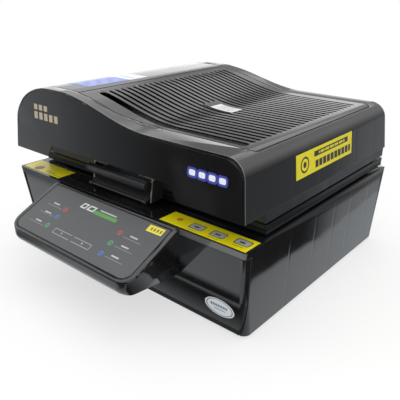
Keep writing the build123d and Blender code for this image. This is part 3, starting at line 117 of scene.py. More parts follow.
# ---------------------------------------------------------------- shader expressions
class Wire:
    """A socket's output that takes part in sums and products."""

    def __init__(self, finish, socket):
        self.finish = finish
        self.socket = socket

    def math(self, operation, *others, clamp=False):
        values = {index: value for index, value in enumerate((self, *others))}
        return self.finish.node("ShaderNodeMath", {"operation": operation, "use_clamp": clamp}, values)

    def __add__(self, other):
        return self.math("ADD", other)

    __radd__ = __add__

    def __sub__(self, other):
        return self.math("SUBTRACT", other)

    def __rsub__(self, other):
        return self.finish.node("ShaderNodeMath", {"operation": "SUBTRACT"}, {0: other, 1: self})

    def __mul__(self, other):
        return self.math("MULTIPLY", other)

    __rmul__ = __mul__

    def __truediv__(self, other):
        return self.math("DIVIDE", other)

    def __neg__(self):
        return self * -1.0

    def __abs__(self):
        return self.math("ABSOLUTE")

    def low(self, other):
        return self.math("MINIMUM", other)

    def high(self, other):
        return self.math("MAXIMUM", other)

    def clip(self):
        return self.math("ADD", 0.0, clamp=True)

    def fade(self, start, end):
        """0 at start, 1 at end, smooth between."""
        return self.finish.node("ShaderNodeMapRange", {"interpolation_type": "SMOOTHSTEP"},
                                {"Value": self, "From Min": start, "From Max": end})

    def wrap(self, size):
        return self.math("FLOORED_MODULO", size)


class Finish:
    """A material, built from wires."""

    def __init__(self, name):
        self.material = bpy.data.materials.new(name)
        self.material.use_nodes = True
        self.tree = self.material.node_tree
        self.tree.nodes.clear()
        self.output = self.tree.nodes.new("ShaderNodeOutputMaterial")
        place = self.node("ShaderNodeTexCoord", {}, {}, "Object")
        self.place = place
        self.x = self.node("ShaderNodeSeparateXYZ", {}, {0: place}, "X")
        split = self.x.socket.node
        self.y = Wire(self, split.outputs["Y"])
        self.z = Wire(self, split.outputs["Z"])

    def node(self, kind, settings, sockets, output=0):
        """Add a node, its settings first, then the values or links of its sockets."""
        made = self.tree.nodes.new(kind)
        for key, value in settings.items():
            if key == "stops":
                ramp = made.color_ramp
                while len(ramp.elements) < len(value):
                    ramp.elements.new(0.5)
                for element, (position, colour) in zip(ramp.elements, value):
                    element.position = position
                    element.color = (*colour, 1.0)
            else:
                setattr(made, key, value)
        for key, value in sockets.items():
            socket = made.inputs[key]
            if isinstance(value, Wire):
                self.tree.links.new(value.socket, socket)
            elif socket.type == "RGBA" and len(value) == 3:
                socket.default_value = (*value, 1.0)
            else:
                socket.default_value = value
        return Wire(self, made.outputs[output])

    def noise(self, scale, detail=2.0, stretch=(1.0, 1.0, 1.0), distortion=0.0):
        place = self.node("ShaderNodeMapping", {}, {"Vector": self.place, "Scale": stretch})
        sockets = {"Vector": place, "Scale": scale, "Detail": detail, "Distortion": distortion}
        return self.node("ShaderNodeTexNoise", {}, sockets, "Fac")

    def cells(self, scale, output="Distance"):
        return self.node("ShaderNodeTexVoronoi", {}, {"Vector": self.place, "Scale": scale}, output)

    def blend(self, first, second, factor):
        """Mix two colours."""
        return self.node("ShaderNodeMix", {"data_type": "RGBA"}, {0: factor, 6: first, 7: second}, 2)

    def bump(self, height, distance, strength=1.0, soften=0.0):
        sockets = {"Height": height, "Distance": distance, "Strength": strength}
        if soften:
            sockets["Normal"] = self.node("ShaderNodeBevel", {"samples": 4}, {"Radius": soften}, "Normal")
        return self.node("ShaderNodeBump", {}, sockets, "Normal")

    def surface(self, **sockets):
        """Close the material with a principled shader."""
        names = {key.replace("_", " ").title().replace("Ior", "IOR"): value for key, value in sockets.items()}
        shader = self.node("ShaderNodeBsdfPrincipled", {}, names)
        self.tree.links.new(shader.socket, self.output.inputs["Surface"])
        return self.material

    def span(self, wire, low, high, edge=0.0002):
        """1 between two values of a wire."""
        return wire.fade(low - edge, low + edge) * (1.0 - wire.fade(high - edge, high + edge))

    def patch(self, u, v, u_range, v_range, edge=0.0002):
        """1 inside a rectangle of two wires."""
        return self.span(u, *u_range, edge) * self.span(v, *v_range, edge)

    def rounded(self, u, v, centre, half, corner, edge=0.0002):
        """1 inside a rounded rectangle of two wires."""
        over_u = (abs(u - centre[0]) - (half[0] - corner)).high(0.0)
        over_v = (abs(v - centre[1]) - (half[1] - corner)).high(0.0)
        reach = (over_u * over_u + over_v * over_v).math("SQRT")
        return 1.0 - reach.fade(corner - edge, corner + edge)

    def disc(self, u, v, centre, radius, edge=0.0002):
        """1 inside a circle of two wires."""
        away_u = u - centre[0]
        away_v = v - centre[1]
        return 1.0 - (away_u * away_u + away_v * away_v).math("SQRT").fade(radius - edge, radius + edge)

    def ring(self, u, v, centre, inner, outer, edge=0.0002):
        """1 between two circles of two wires."""
        return self.disc(u, v, centre, outer, edge) - self.disc(u, v, centre, inner, edge)


def total(wires):
    """Sum of several wires."""
    return functools.reduce(operator.add, wires)


def dress(material, *names):
    """Give CAD nodes or pieces a material."""
    for name in names:
        piece = nodes[name] if isinstance(name, str) else name
        piece.data.materials.clear()
        piece.data.materials.append(material)


def worn(finish):
    """Faint dust and handling marks, from 0 to 1."""
    cloudy = finish.noise(9.0, 4.0).fade(0.45, 0.8)
    specks = finish.cells(420.0).fade(0.18, 0.05) * finish.noise(60.0).fade(0.55, 0.7)
    return cloudy * 0.6 + specks * 0.06


def gloss_plastic(name, colour, roughness=0.09, coat=0.6, wave=0.00025, soften=0.0009,
                  extra=None, seam_and_shadow=None, painted_highlight=None):
    """Moulded gloss plastic: slow waves in its face, dust in patches, dark lines at open seams and as painted
    shadow, and a painted highlight along an edge.
    """
    finish = Finish(name)
    dust = worn(finish)
    base = finish.blend(colour, tuple(channel * 1.5 + 0.006 for channel in colour), dust)
    # painted highlight: the base colour turns lighter where this mask is set
    if painted_highlight is not None:
        base = finish.blend(base, (0.2, 0.2, 0.195), painted_highlight(finish))
    height = finish.noise(5.5, 1.0) + finish.noise(16.0, 1.0) * 0.18
    if extra is not None:
        height = height + extra(finish)
    rough = dust * 0.14 + roughness
    # dark lines: open seams, and painted shadow lines where the mask stands for shade
    if seam_and_shadow is not None:
        seam_and_shadow_line = seam_and_shadow(finish)
        base = finish.blend(base, (0.002, 0.002, 0.002), seam_and_shadow_line)
        rough = rough + seam_and_shadow_line * 0.6
        height = height - seam_and_shadow_line * 0.8
        coat = (1.0 - seam_and_shadow_line) * coat
    normal = finish.bump(height, wave, 1.0, soften)
    return finish.surface(base_color=base, roughness=rough, normal=normal, coat_weight=coat,
                          coat_roughness=0.03, coat_ior=1.5, ior=1.49)


def rib_sinks(finish):
    """Shallow upright sink marks where ribs stand behind the side walls."""
    sinks = total([1.0 - abs(finish.y - y).fade(0.0, 0.0045) for y in rib_rows])
    return sinks * abs(finish.x).fade(0.262, 0.268) * -0.7


def foremost(finish):
    """1 on the base's front faces, 0 behind them."""
    return finish.y.fade(lid_front + 0.006, lid_front + 0.004)


def cover_seam_and_shadow(finish):
    """Dark lines round the front cover: an open seam along its side returns, and painted shadow lines under the
    ledge and near its corners.
    """
    side = finish.span(finish.y, return_y - 0.0013, return_y + 0.0009)
    side = side * finish.z.fade(cover_top, cover_top - 0.001)
    # painted shadow line under the ledge's rim, just over the cover
    under = finish.span(finish.z, cover_top - 0.0004, cover_top + 0.0012)
    under = under * finish.y.fade(return_y, return_y - 0.001)
    # painted shadow line a few millimetres in from each front corner
    half = base_high.x - (1.0 - finish.z / ledge_z) * (6 * MM)
    groove = finish.span(half - abs(finish.x), 0.0016, 0.0052)
    groove = groove * finish.span(finish.z, panel_low.z + 0.008, cover_top)
    return side.high(under).high(groove * foremost(finish))


def ledge_painted_highlight(finish):
    """Painted highlight: a paler front face of the ledge's rim, above the cover, on its right part."""
    face = finish.span(finish.z, cover_top + 0.0014, ledge_z - 0.001) * foremost(finish)
    return face * finish.x.fade(0.1, 0.15) * 0.42


def top_seams(finish):
    """Open line round the two top covers and between them; their front edge steps back on the slope."""
    shift = ((finish.x + 10 * MM) / (72 * MM)).clip() * (20 * MM)
    middle = ((hump_low.x + vent_high.x) / 2, (hump_low.y + vent_high.y) / 2)
    half = ((vent_high.x - hump_low.x) / 2, (vent_high.y - hump_low.y) / 2)
    level = finish.y - shift * (vent_high.y - finish.y) / (vent_high.y - hump_low.y)
    outer = finish.rounded(finish.x, level, middle, (half[0] + 0.0016, half[1] + 0.0016), 0.013)
    inner = finish.rounded(finish.x, level, middle, (half[0] - 0.0008, half[1] - 0.0008), 0.011)
    between = finish.span(finish.x, vent_low.x - 0.0012, vent_low.x + 0.0008) * inner
    return (outer - inner + between).clip() * finish.z.fade(lid_z + 0.07, lid_z + 0.075)


def painted_edge_highlight(finish):
    """Painted highlight: a light line along the front edge of the lid shell's top and sides."""
    back = finish.y - lid_front - (finish.z - lid_z) * front_lean
    return finish.span(back, 0.0003, 0.0022) * 0.45


def satin_paint(name, colour, roughness, metallic=0.0):
    """Powder coat on steel: fine pebbled skin with rubbed patches."""
    finish = Finish(name)
    rubbed = finish.noise(14.0, 3.0).fade(0.5, 0.75)
    base = finish.blend(colour, tuple(channel * 1.35 + 0.006 for channel in colour), rubbed)
    normal = finish.bump(finish.noise(1500.0, 2.0) + worn(finish) * 0.3, 0.00003, 1.0, 0.0007)
    rough = roughness - rubbed * 0.08
    return finish.surface(base_color=base, roughness=rough, metallic=metallic, normal=normal)


def brushed_steel(name, colour=(0.58, 0.58, 0.56), stretch=(4.0, 260.0, 260.0), roughness=0.3, heat=0.0):
    """Stainless sheet with grain along one way, and straw tints where it has been hot."""
    finish = Finish(name)
    grain = finish.noise(18.0, 4.0, stretch)
    stain = finish.noise(6.0, 3.0).fade(0.45, 0.85)
    base = finish.blend(colour, tuple(channel * 0.8 for channel in colour), grain)
    base = finish.blend(base, (0.5, 0.38, 0.22), stain * heat)
    normal = finish.bump(grain, 0.00002, 0.8, 0.0004)
    rough = grain * 0.22 + roughness - 0.08
    return finish.surface(base_color=base, roughness=rough, metallic=1.0, normal=normal)


def bright_metal(name, colour=(0.72, 0.72, 0.71), roughness=0.2):
    """Plated steel with faint tarnish in its recesses."""
    finish = Finish(name)
    tarnish = finish.noise(120.0, 3.0).fade(0.5, 0.8)
    base = finish.blend(colour, tuple(channel * 0.7 for channel in colour), tarnish)
    normal = finish.bump(finish.noise(400.0, 2.0), 0.00002, 0.6, 0.0003)
    return finish.surface(base_color=base, roughness=tarnish * 0.15 + roughness, metallic=1.0, normal=normal)


def rubber(name, colour=(0.018, 0.018, 0.019)):
    """Moulded rubber with a talc bloom."""
    finish = Finish(name)
    bloom = finish.noise(45.0, 4.0).fade(0.45, 0.8)
    base = finish.blend(colour, tuple(channel + 0.03 for channel in colour), bloom)
    normal = finish.bump(finish.noise(900.0, 2.0), 0.00004, 0.8, 0.0006)
    return finish.surface(base_color=base, roughness=0.72 - bloom * 0.1, normal=normal)


def silicone(name):
    """Translucent grey-white silicone sheet with a fine calendered grain."""
    finish = Finish(name)
    cloud = finish.noise(16.0, 3.0)
    base = finish.blend((0.56, 0.55, 0.52), (0.66, 0.64, 0.6), cloud)
    grain = finish.noise(650.0, 2.0, (1.0, 3.0, 1.0)) + finish.noise(11.0, 2.0) * 3.0
    normal = finish.bump(grain, 0.0001, 0.7)
    return finish.surface(base_color=base, roughness=cloud * 0.1 + 0.4, normal=normal,
                          subsurface_weight=0.15, subsurface_radius=(0.004, 0.003, 0.002))


def felt(name):
    """Fibre blanket in near-black, as painted shade for the view into the lid's slots: matted strands, slightly
    lighter at their tips.
    """
    finish = Finish(name)
    strands = finish.noise(300.0, 5.0, (1.0, 0.35, 1.0), 1.5)
    # near-black fibre colours: painted shade for the view into the lid's slots
    base = finish.blend((0.02, 0.02, 0.02), (0.085, 0.083, 0.08), strands)
    return finish.surface(base_color=base, roughness=0.95, normal=finish.bump(strands, 0.0012, 0.9))


def ceramic(name):
    """Glazed insulator ceramic with fine dark specks."""
    finish = Finish(name)
    specks = finish.cells(900.0).fade(0.1, 0.02)
    base = finish.blend((0.78, 0.75, 0.7), (0.5, 0.46, 0.4), specks * 0.5)
    return finish.surface(base_color=base, roughness=specks * 0.2 + 0.45,
                          normal=finish.bump(finish.noise(500.0, 3.0), 0.00005, 0.8, 0.0005))


def cast_alloy(name, colour=(0.44, 0.45, 0.47)):
    """Die-cast or pressed alloy, grainy and a little oxidised."""
    finish = Finish(name)
    grain = finish.noise(800.0, 3.0)
    patches = finish.noise(20.0, 3.0).fade(0.4, 0.8)
    base = finish.blend(colour, tuple(channel * 0.75 for channel in colour), patches)
    return finish.surface(base_color=base, roughness=patches * 0.15 + 0.38, metallic=1.0,
                          normal=finish.bump(grain, 0.00006, 0.9, 0.0005))


def brass(name):
    """Turned brass, dulled in patches."""
    finish = Finish(name)
    patches = finish.noise(90.0, 3.0).fade(0.4, 0.75)
    base = finish.blend((0.72, 0.52, 0.22), (0.42, 0.29, 0.13), patches)
    return finish.surface(base_color=base, roughness=patches * 0.2 + 0.22, metallic=1.0,
                          normal=finish.bump(finish.noise(700.0, 2.0), 0.00003, 0.7, 0.0004))


def circuit_board(name):
    """Green solder mask over copper lands and pads."""
    finish = Finish(name)
    across = finish.x.wrap(0.0065).fade(0.0026, 0.003) * finish.noise(35.0, 1.0).fade(0.5, 0.52)
    along = finish.y.wrap(0.0065).fade(0.0026, 0.003) * finish.noise(28.0, 1.0).fade(0.48, 0.5)
    tracks = across.high(along)
    pads = finish.cells(240.0).fade(0.12, 0.09)
    mask = finish.blend((0.012, 0.1, 0.045), (0.03, 0.2, 0.09), tracks)
    base = finish.blend(mask, (0.7, 0.68, 0.6), pads)
    return finish.surface(base_color=base, roughness=0.3 + pads * 0.1, metallic=pads * 0.9,
                          normal=finish.bump(tracks + pads, 0.00005, 0.8))


def laminated_core(name):
    """Varnished steel laminations with a taped winding round the middle."""
    finish = Finish(name)
    sheets = finish.z.wrap(0.0008).fade(0.0003, 0.0005)
    low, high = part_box("transformer")
    middle = abs(finish.y - (low.y + high.y) / 2)
    tape = middle.fade((high.y - low.y) / 2 - 0.011, (high.y - low.y) / 2 - 0.0095)
    steel = finish.blend((0.1, 0.085, 0.07), (0.2, 0.18, 0.15), sheets)
    base = finish.blend(steel, (0.6, 0.42, 0.1), tape)
    return finish.surface(base_color=base, roughness=0.42 + sheets * 0.1, metallic=(1.0 - tape) * 0.6,
                          normal=finish.bump(sheets, 0.0002, 0.8, 0.0005))


def grained_plastic(name, colour=(0.022, 0.022, 0.024), roughness=0.5):
    """Black technical plastic with a spark-eroded texture."""
    finish = Finish(name)
    grain = finish.noise(2200.0, 2.0)
    patches = finish.noise(30.0, 2.0).fade(0.45, 0.8)
    base = finish.blend(colour, tuple(channel * 1.6 + 0.004 for channel in colour), patches)
    return finish.surface(base_color=base, roughness=roughness - patches * 0.08,
                          normal=finish.bump(grain, 0.00006, 0.8, 0.0006))


# ---------------------------------------------------------------- shaping helpers
def let_go():
    """Leave edit mode, with nothing selected."""
    if bpy.context.object and bpy.context.object.mode != "OBJECT":
        bpy.ops.object.mode_set(mode="OBJECT")
    bpy.ops.object.select_all(action="DESELECT")


def take(*pieces):
    """Select pieces, the last of them active."""
    let_go()
    for piece in pieces:
        piece.hide_set(False)
        piece.select_set(True)
    bpy.context.view_layer.objects.active = pieces[-1]
    return pieces[-1]


def apply_modifier(piece, kind, **settings):
    take(piece)
    added = piece.modifiers.new(kind.title(), kind)
    for key, value in settings.items():
        setattr(added, key, value)
    bpy.ops.object.modifier_apply(modifier=added.name)


def select_faces(piece, wanted):
    """In edit mode, select the faces that a test picks by centre and normal."""
    bpy.ops.mesh.select_all(action="DESELECT")
    mesh = bmesh.from_edit_mesh(piece.data)
    for face in mesh.faces:
        if wanted(face.calc_center_median(), face.normal):
            face.select_set(True)
    mesh.select_flush(True)
    bmesh.update_edit_mesh(piece.data)


def finish_piece(piece, name, body, slot, material, *stands_for):
    """Name a piece, settle its place into its mesh, and tie it to its body and material; its slot argument is
    not used.
    """
    take(piece)
    bpy.ops.object.transform_apply(location=True, rotation=True, scale=True)
    piece.name = name
    piece.data.name = name
    dress(material, piece)
    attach(piece, body)
    if stands_for:
        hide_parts(*stands_for)
    let_go()
    return piece


def slot_of(name):
    """The record's slot of a CAD node."""
    return next(row["material_slot"] for row in frame["record"]["subparts"] if row["node"] == name)


def smooth_moulding(name, material, angle=32.0, own_name=None):
    """A merged copy of a CAD node whose curves shade smoothly and whose flats stay flat."""
    node = nodes[name]
    body = node["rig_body"]
    take(node)
    bpy.ops.object.duplicate()
    piece = bpy.context.active_object
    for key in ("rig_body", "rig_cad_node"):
        if key in piece:
            del piece[key]
    piece.parent = None
    bpy.ops.object.mode_set(mode="EDIT")
    bpy.ops.mesh.select_all(action="SELECT")
    bpy.ops.mesh.remove_doubles(threshold=0.000005)
    bpy.ops.object.mode_set(mode="OBJECT")
    bpy.ops.object.shade_smooth_by_angle(angle=math.radians(angle), keep_sharp_edges=False)
    apply_modifier(piece, "WEIGHTED_NORMAL", keep_sharp=True, weight=100, thresh=0.01)
    return finish_piece(piece, own_name or name + "_moulding", body, slot_of(name), material, name)


def boxes_of(name):
    """Lowest and highest corners of each separate solid in a CAD node."""
    mesh = bmesh.new()
    mesh.from_mesh(nodes[name].data)
    bmesh.ops.remove_doubles(mesh, verts=mesh.verts, dist=0.000005)
    left = set(mesh.verts)
    boxes = []
    while left:
        start = left.pop()
        group = [start]
        for vertex in group:
            for edge in vertex.link_edges:
                other = edge.other_vert(vertex)
                if other in left:
                    left.remove(other)
                    group.append(other)
        low = Vector([min(v.co[axis] for v in group) for axis in range(3)])
        high = Vector([max(v.co[axis] for v in group) for axis in range(3)])
        boxes.append((low, high))
    mesh.free()
    return sorted(boxes, key=lambda box: tuple(round(value, 5) for value in box[0]))


def standing_disc(vertices, radius, height):
    """A short cylinder that stands on z = 0, its place settled into its mesh."""
    let_go()
    bpy.ops.mesh.primitive_cylinder_add(vertices=vertices, radius=radius, depth=height,
                                        location=(0, 0, height / 2))
    bpy.ops.object.transform_apply(location=True, rotation=True, scale=True)
    return bpy.context.active_object


def repeat(template, places):
    """Copy a piece to each place, a matrix, and join the copies into one piece."""
    copies = []
    for place in places:
        take(template)
        bpy.ops.object.duplicate()
        copy = bpy.context.active_object
        copy.matrix_world = place
        copies.append(copy)
    take(*copies)
    bpy.ops.object.transform_apply(location=True, rotation=True, scale=True)
    if len(copies) > 1:
        bpy.ops.object.join()
    joined = bpy.context.active_object
    bpy.data.objects.remove(template)
    return joined


# ---------------------------------------------------------------- what a user may change
def colour_choice(name, description, default):
    return bpy.props.FloatVectorProperty(name=name, description=description, subtype="COLOR", size=3,
                                         min=0.0, max=1.0, default=default)


def length_choice(name, description, default, least, most):
    return bpy.props.FloatProperty(name=name, description=description, subtype="DISTANCE", unit="LENGTH",
                                   default=default, min=least, max=most)


class PressColours(bpy.types.PropertyGroup):
    """Colours of the machine's main mouldings and prints."""

    body: colour_choice("Mouldings", "Gloss plastic of lid, base and control box", (0.007, 0.007, 0.0075))
    steel: colour_choice("Painted steel", "Skirt, membrane frame and hinges", (0.018, 0.022, 0.025))
    panel: colour_choice("Touch panel", "Film over the touch keys", (0.07, 0.075, 0.08))
    yellow: colour_choice("Yellow film", "Labels on the ledge and the side", (0.68, 0.6, 0.006))
    blue: colour_choice("Blue film", "Label on the hump", (0.16, 0.23, 0.58))


class PressSizes(bpy.types.PropertyGroup):
    """Sizes of the small formed pieces."""

    screw_slot: length_choice("Screw slot", "Width of a screw's cross slot", 0.0008, 0.0002, 0.003)
    membrane_sag: length_choice("Membrane sag", "How far the sheet hangs in its middle", 0.0009, 0.0, 0.004)
    grip_end: length_choice("Grip end", "Bare length at each end of the grip bar", 0.006, 0.0, 0.03)
    floor_size: length_choice("Floor", "Side of the studio floor", 14.0, 2.0, 50.0)


# ---------------------------------------------------------------- stage
class PRESS_OT_stage(bpy.types.Operator):
    """Camera, pale floor, soft lamps and world"""

    bl_idname = "press.stage"
    bl_label = "Stage"

    def execute(self, context):
        scene = context.scene
        scene.view_settings.view_transform = "Standard"
        self.camera(scene)

        bpy.ops.mesh.primitive_plane_add(size=scene.press_sizes.floor_size, location=(0, 0, 0))
        floor = bpy.context.active_object
        floor.name = "studio_floor"
        dress(self.floor_finish(), floor)

        self.world(scene)
        self.lamp("lamp_over", (0.1, 0.2, 2.2), (0, 0, 0), 2.2, 2.2, 17.0)
        self.lamp("lamp_left", (-1.9, -1.5, 1.5), (0, 0, 0.15), 1.4, 1.6, 12.0)
        self.lamp("lamp_right", (2.1, -0.9, 1.3), (0, 0, 0.15), 1.2, 1.6, 9.0)
        return {"FINISHED"}

    def camera(self, scene):
        """The photo's camera: its heading, its tilt above the floor and a slight roll, in degrees."""
        heading, elevation, roll = 40.4, 23.08, 0.25
        let_go()
        bpy.ops.object.camera_add(location=eye)
        camera = bpy.context.active_object
        camera.name = "studio_camera"
        turn = (Matrix.Rotation(math.radians(heading), 4, "Z")
                @ Matrix.Rotation(math.radians(90 - elevation), 4, "X")
                @ Matrix.Rotation(math.radians(roll), 4, "Z"))
        camera.rotation_euler = turn.to_euler()
        camera.data.lens = 45.88
        camera.data.sensor_width = 36.0
        camera.data.clip_start = 0.01
        scene.camera = camera

    def lamp(self, name, place, target, width, height, power):
        bpy.ops.object.light_add(type="AREA", location=place)
        lamp = bpy.context.active_object
        lamp.name = name
        lamp.rotation_euler = (Vector(target) - Vector(place)).to_track_quat("-Z", "Y").to_euler()
        lamp.data.shape = "RECTANGLE"
        lamp.data.size = width
        lamp.data.size_y = height
        lamp.data.energy = power
        lamp.visible_glossy = False

    def floor_finish(self):
        """Pale matt paper to the camera, whiter far out; to gloss, dark and light boards."""
        finish = Finish("studio_paper")
        normal = finish.bump(finish.noise(900.0, 2.0), 0.00002, 0.5)
        sockets = {"Base Color": (0.9, 0.9, 0.89), "Roughness": 0.9, "Normal": normal}
        paper = finish.node("ShaderNodeBsdfPrincipled", {}, sockets, "BSDF")
        before = self.front_boards(finish)
        beside = self.side_boards(finish)
        level = before + (beside - before) * finish.y.fade(-0.24, -0.17)
        tone = finish.blend((0.0, 0.0, 0.0), (0.95, 1.0, 1.04), level)
        seen = self.glow(finish, tone)
        white = self.glow(finish, (1.0, 1.0, 1.0))
        far = (finish.x * finish.x + finish.y * finish.y).math("SQRT")
        path = finish.node("ShaderNodeLightPath", {}, {}, "Is Camera Ray")
        glossy = Wire(finish, path.socket.node.outputs["Is Glossy Ray"])
        pale = path * (far.fade(0.8, 1.8) * 0.4 + 0.6)
        soft = finish.node("ShaderNodeMixShader", {}, {0: pale, 1: paper, 2: white}, "Shader")
        both = finish.node("ShaderNodeMixShader", {}, {0: glossy, 1: soft, 2: seen}, "Shader")
        finish.tree.links.new(both.socket, finish.output.inputs["Surface"])
        return finish.material

    def glow(self, finish, colour):
        return finish.node("ShaderNodeEmission", {}, {"Color": colour, "Strength": 1.0}, "Emission")

    def front_boards(self, finish):
        """Boards for the front: a ramp to the right, one under the flat panel and one at the corner."""
        lead = ((finish.x - eye.x) / (finish.y - front_mirror) - 0.9) * 0.75
        ramp = lead.high(0.03).low(0.6) * (1.0 - finish.y.fade(-0.56, -0.5) * 0.45)
        left = finish.x.fade(-0.1, -0.3)
        panel = finish.span(finish.y, -0.46, -0.252, 0.008) * (1.0 - finish.x.fade(0.38, 0.5))
        panel = panel * (0.74 - left * finish.y.fade(-0.31, -0.35) * 0.5)
        corner = (1.0 - abs(finish.y + 0.33).fade(0.05, 0.09)) * finish.x.fade(0.4, 0.45) * 1.8
        return ramp.high(panel).high(corner)

    def side_boards(self, finish):
        """Boards for the right side: one close to the machine, then a wedge that opens to the rear."""
        sweep = (finish.y - eye.y) / (finish.x - side_mirror)
        wave = finish.noise(7.0, 1.0) * 0.05
        close = 1.0 - (finish.x + wave).fade(0.378, 0.392)
        turned = sweep.fade(1.9, 2.4)
        inner = turned * 0.42 + 0.02
        outer = turned * 0.17 + 0.18
        wedge = inner + (outer - inner) * finish.x.fade(0.44, 0.52)
        return (close * 0.62).high(wedge)

    def world(self, scene):
        """White to the camera, an even fill to diffuse rays, and soft bands to gloss."""
        world = scene.world or bpy.data.worlds.new("studio_world")
        scene.world = world
        world.use_nodes = True
        sky = Finish.__new__(Finish)
        sky.tree = world.node_tree
        sky.tree.nodes.clear()
        output = sky.tree.nodes.new("ShaderNodeOutputWorld")
        way = sky.node("ShaderNodeTexCoord", {}, {}, "Generated")
        split = sky.node("ShaderNodeSeparateXYZ", {}, {0: way}, "Z").socket.node
        band = self.bands(*(Wire(sky, split.outputs[axis]) for axis in "XYZ"))
        path = sky.node("ShaderNodeLightPath", {}, {}, "Is Camera Ray")
        glossy = Wire(sky, path.socket.node.outputs["Is Glossy Ray"])
        strength = path + (1.0 - path) * (glossy * band + (1.0 - glossy) * 0.85)
        sockets = {"Color": (1.0, 1.0, 1.0), "Strength": strength}
        back = sky.node("ShaderNodeBackground", {}, sockets, "Background")
        sky.tree.links.new(back.socket, output.inputs["Surface"])

    def bands(self, x, y, z):
        """Light by direction: overhead, low behind, for the hump, for the long slope and from the right."""
        over = z.fade(0.1, 0.6) * 0.38 + z.fade(0.5, 0.85) * 1.1
        behind = y.fade(0.55, 1.0) * (1.0 - z.fade(0.15, 0.3) * 0.85) * 1.5 + z.fade(0.22, 0.12) * 0.5
        hump = x.fade(-0.5, -0.8) * z.fade(0.28, 0.2) * y.fade(0.1, 0.3) * 0.5
        slant = (y.fade(0.6, 0.75) * x.fade(0.1, -0.15)).high(x.fade(-0.45, -0.65)) * z.fade(0.36, 0.46)
        raised = slant.high(x.fade(-0.62, -0.7) * z.fade(0.2, 0.3)) * (1.0 - z.fade(0.58, 0.68)) * 0.6
        right = x.fade(-0.1, 0.5) * z.fade(-0.25, 0.5) * 0.7
        return over + behind * x.fade(0.3, -0.2) + hump + raised + right + 0.1


# ---------------------------------------------------------------- mouldings
class PRESS_OT_lid_mouldings(bpy.types.Operator):
    """Lid shell, hump and slotted vent cover in gloss plastic"""

    bl_idname = "press.lid_mouldings"
    bl_label = "Lid mouldings"

    def execute(self, context):
        colour = tuple(context.scene.press_colours.body)
        # lid shell: painted highlight along its front edge
        shell = gloss_plastic("lid_gloss", colour, extra=rib_sinks, seam_and_shadow=top_seams, painted_highlight=painted_edge_highlight)
        smooth_moulding("lid_shell", shell)
        top = gloss_plastic("lid_top_gloss", colour, 0.16, wave=0.00018, soften=0.0, seam_and_shadow=top_seams)
        smooth_moulding("lid_hump_cover", top)
        smooth_moulding("lid_vent_cover", top)
        return {"FINISHED"}


class PRESS_OT_front_panel(bpy.types.Operator):
    """Polished front panel of the lid, with plain printed shapes"""

    bl_idname = "press.front_panel"
    bl_label = "Front panel"

    def execute(self, context):
        colour = tuple(context.scene.press_colours.body)
        finish = Finish("front_gloss")
        dust = worn(finish)
        up = finish.z - lid_z
        base = finish.blend(colour, tuple(channel * 1.5 + 0.012 for channel in colour), dust)
        face = 1.0 - (finish.y - (lid_front + 12 * MM)).fade(0.0, 0.002)
        upper = self.bars(finish, up, (84, 94), -214, -167.5)
        lower = self.bars(finish, up, (67, 80), -214, -136.5)
        base = finish.blend(base, (0.5, 0.42, 0.3), (upper + lower).clip() * face * 0.8)
        centres = [((182 + 18.5 * index) * MM, 52.5 * MM) for index in range(4)]
        x = finish.x
        rims = total([finish.rounded(x, up, centre, (9.5 * MM, 8 * MM), 5 * MM) for centre in centres])
        cores = total([finish.rounded(x, up, centre, (6 * MM, 4.4 * MM), 3 * MM) for centre in centres])
        base = finish.blend(base, (0.055, 0.07, 0.36), rims.clip() * face)
        base = finish.blend(base, (0.78, 0.8, 0.86), cores.clip() * face)
        height = finish.noise(5.5, 1.0) + finish.noise(16.0, 1.0) * 0.15
        normal = finish.bump(height, 0.00012, 1.0, 0.0009)
        material = finish.surface(base_color=base, roughness=dust * 0.12 + 0.1, normal=normal,
                                  coat_weight=0.5, coat_roughness=0.03, coat_ior=1.5, ior=1.49)
        smooth_moulding("lid_front_panel", material)
        return {"FINISHED"}

    def bars(self, finish, up, heights, start, end):
        """A row of plain upright bars between two heights, from start to end, in millimetres."""
        across = (finish.x - start * MM).wrap(15.5 * MM)
        row = finish.span(up, heights[0] * MM, heights[1] * MM) * finish.span(finish.x, start * MM, end * MM)
        return finish.span(across, 1 * MM, 11.5 * MM) * row


class PRESS_OT_base_mouldings(bpy.types.Operator):
    """Base shell, front cover and its flat panel in gloss plastic"""

    bl_idname = "press.base_mouldings"
    bl_label = "Base mouldings"

    def execute(self, context):
        colour = tuple(context.scene.press_colours.body)
        # base shell: painted highlight on the ledge's rim, painted shadow lines round the front cover
        shell = gloss_plastic("base_gloss", colour, extra=rib_sinks, seam_and_shadow=cover_seam_and_shadow, painted_highlight=ledge_painted_highlight)
        smooth_moulding("base_shell", shell)
        smooth_moulding("base_front_cover", gloss_plastic("cover_gloss", colour, seam_and_shadow=cover_seam_and_shadow))
        smooth_moulding("base_front_panel", gloss_plastic("flat_panel_gloss", colour, 0.06, wave=0.00012))
        return {"FINISHED"}


def panel_places(finish):
    """Millimetres across the control panel from its middle, and down it from its upper edge."""
    across = (finish.x - overlay_x) / MM
    down = ((overlay_y - finish.y) * math.cos(slope) + (overlay_z - finish.z) * math.sin(slope)) / MM
    return across, down


def film_gap(finish):
    """Dark line in the bezel round the touch film's seat."""
    u, v = panel_places(finish)

    def seat(grow):
        shape = finish.rounded(u, v, (0, seat_front - 100), (seat_half + grow, 100 + grow), 18 + grow, fine)
        return shape * v.fade(seat_back - grow - fine, seat_back - grow + fine)

    return seat(1.3) - seat(-0.4)


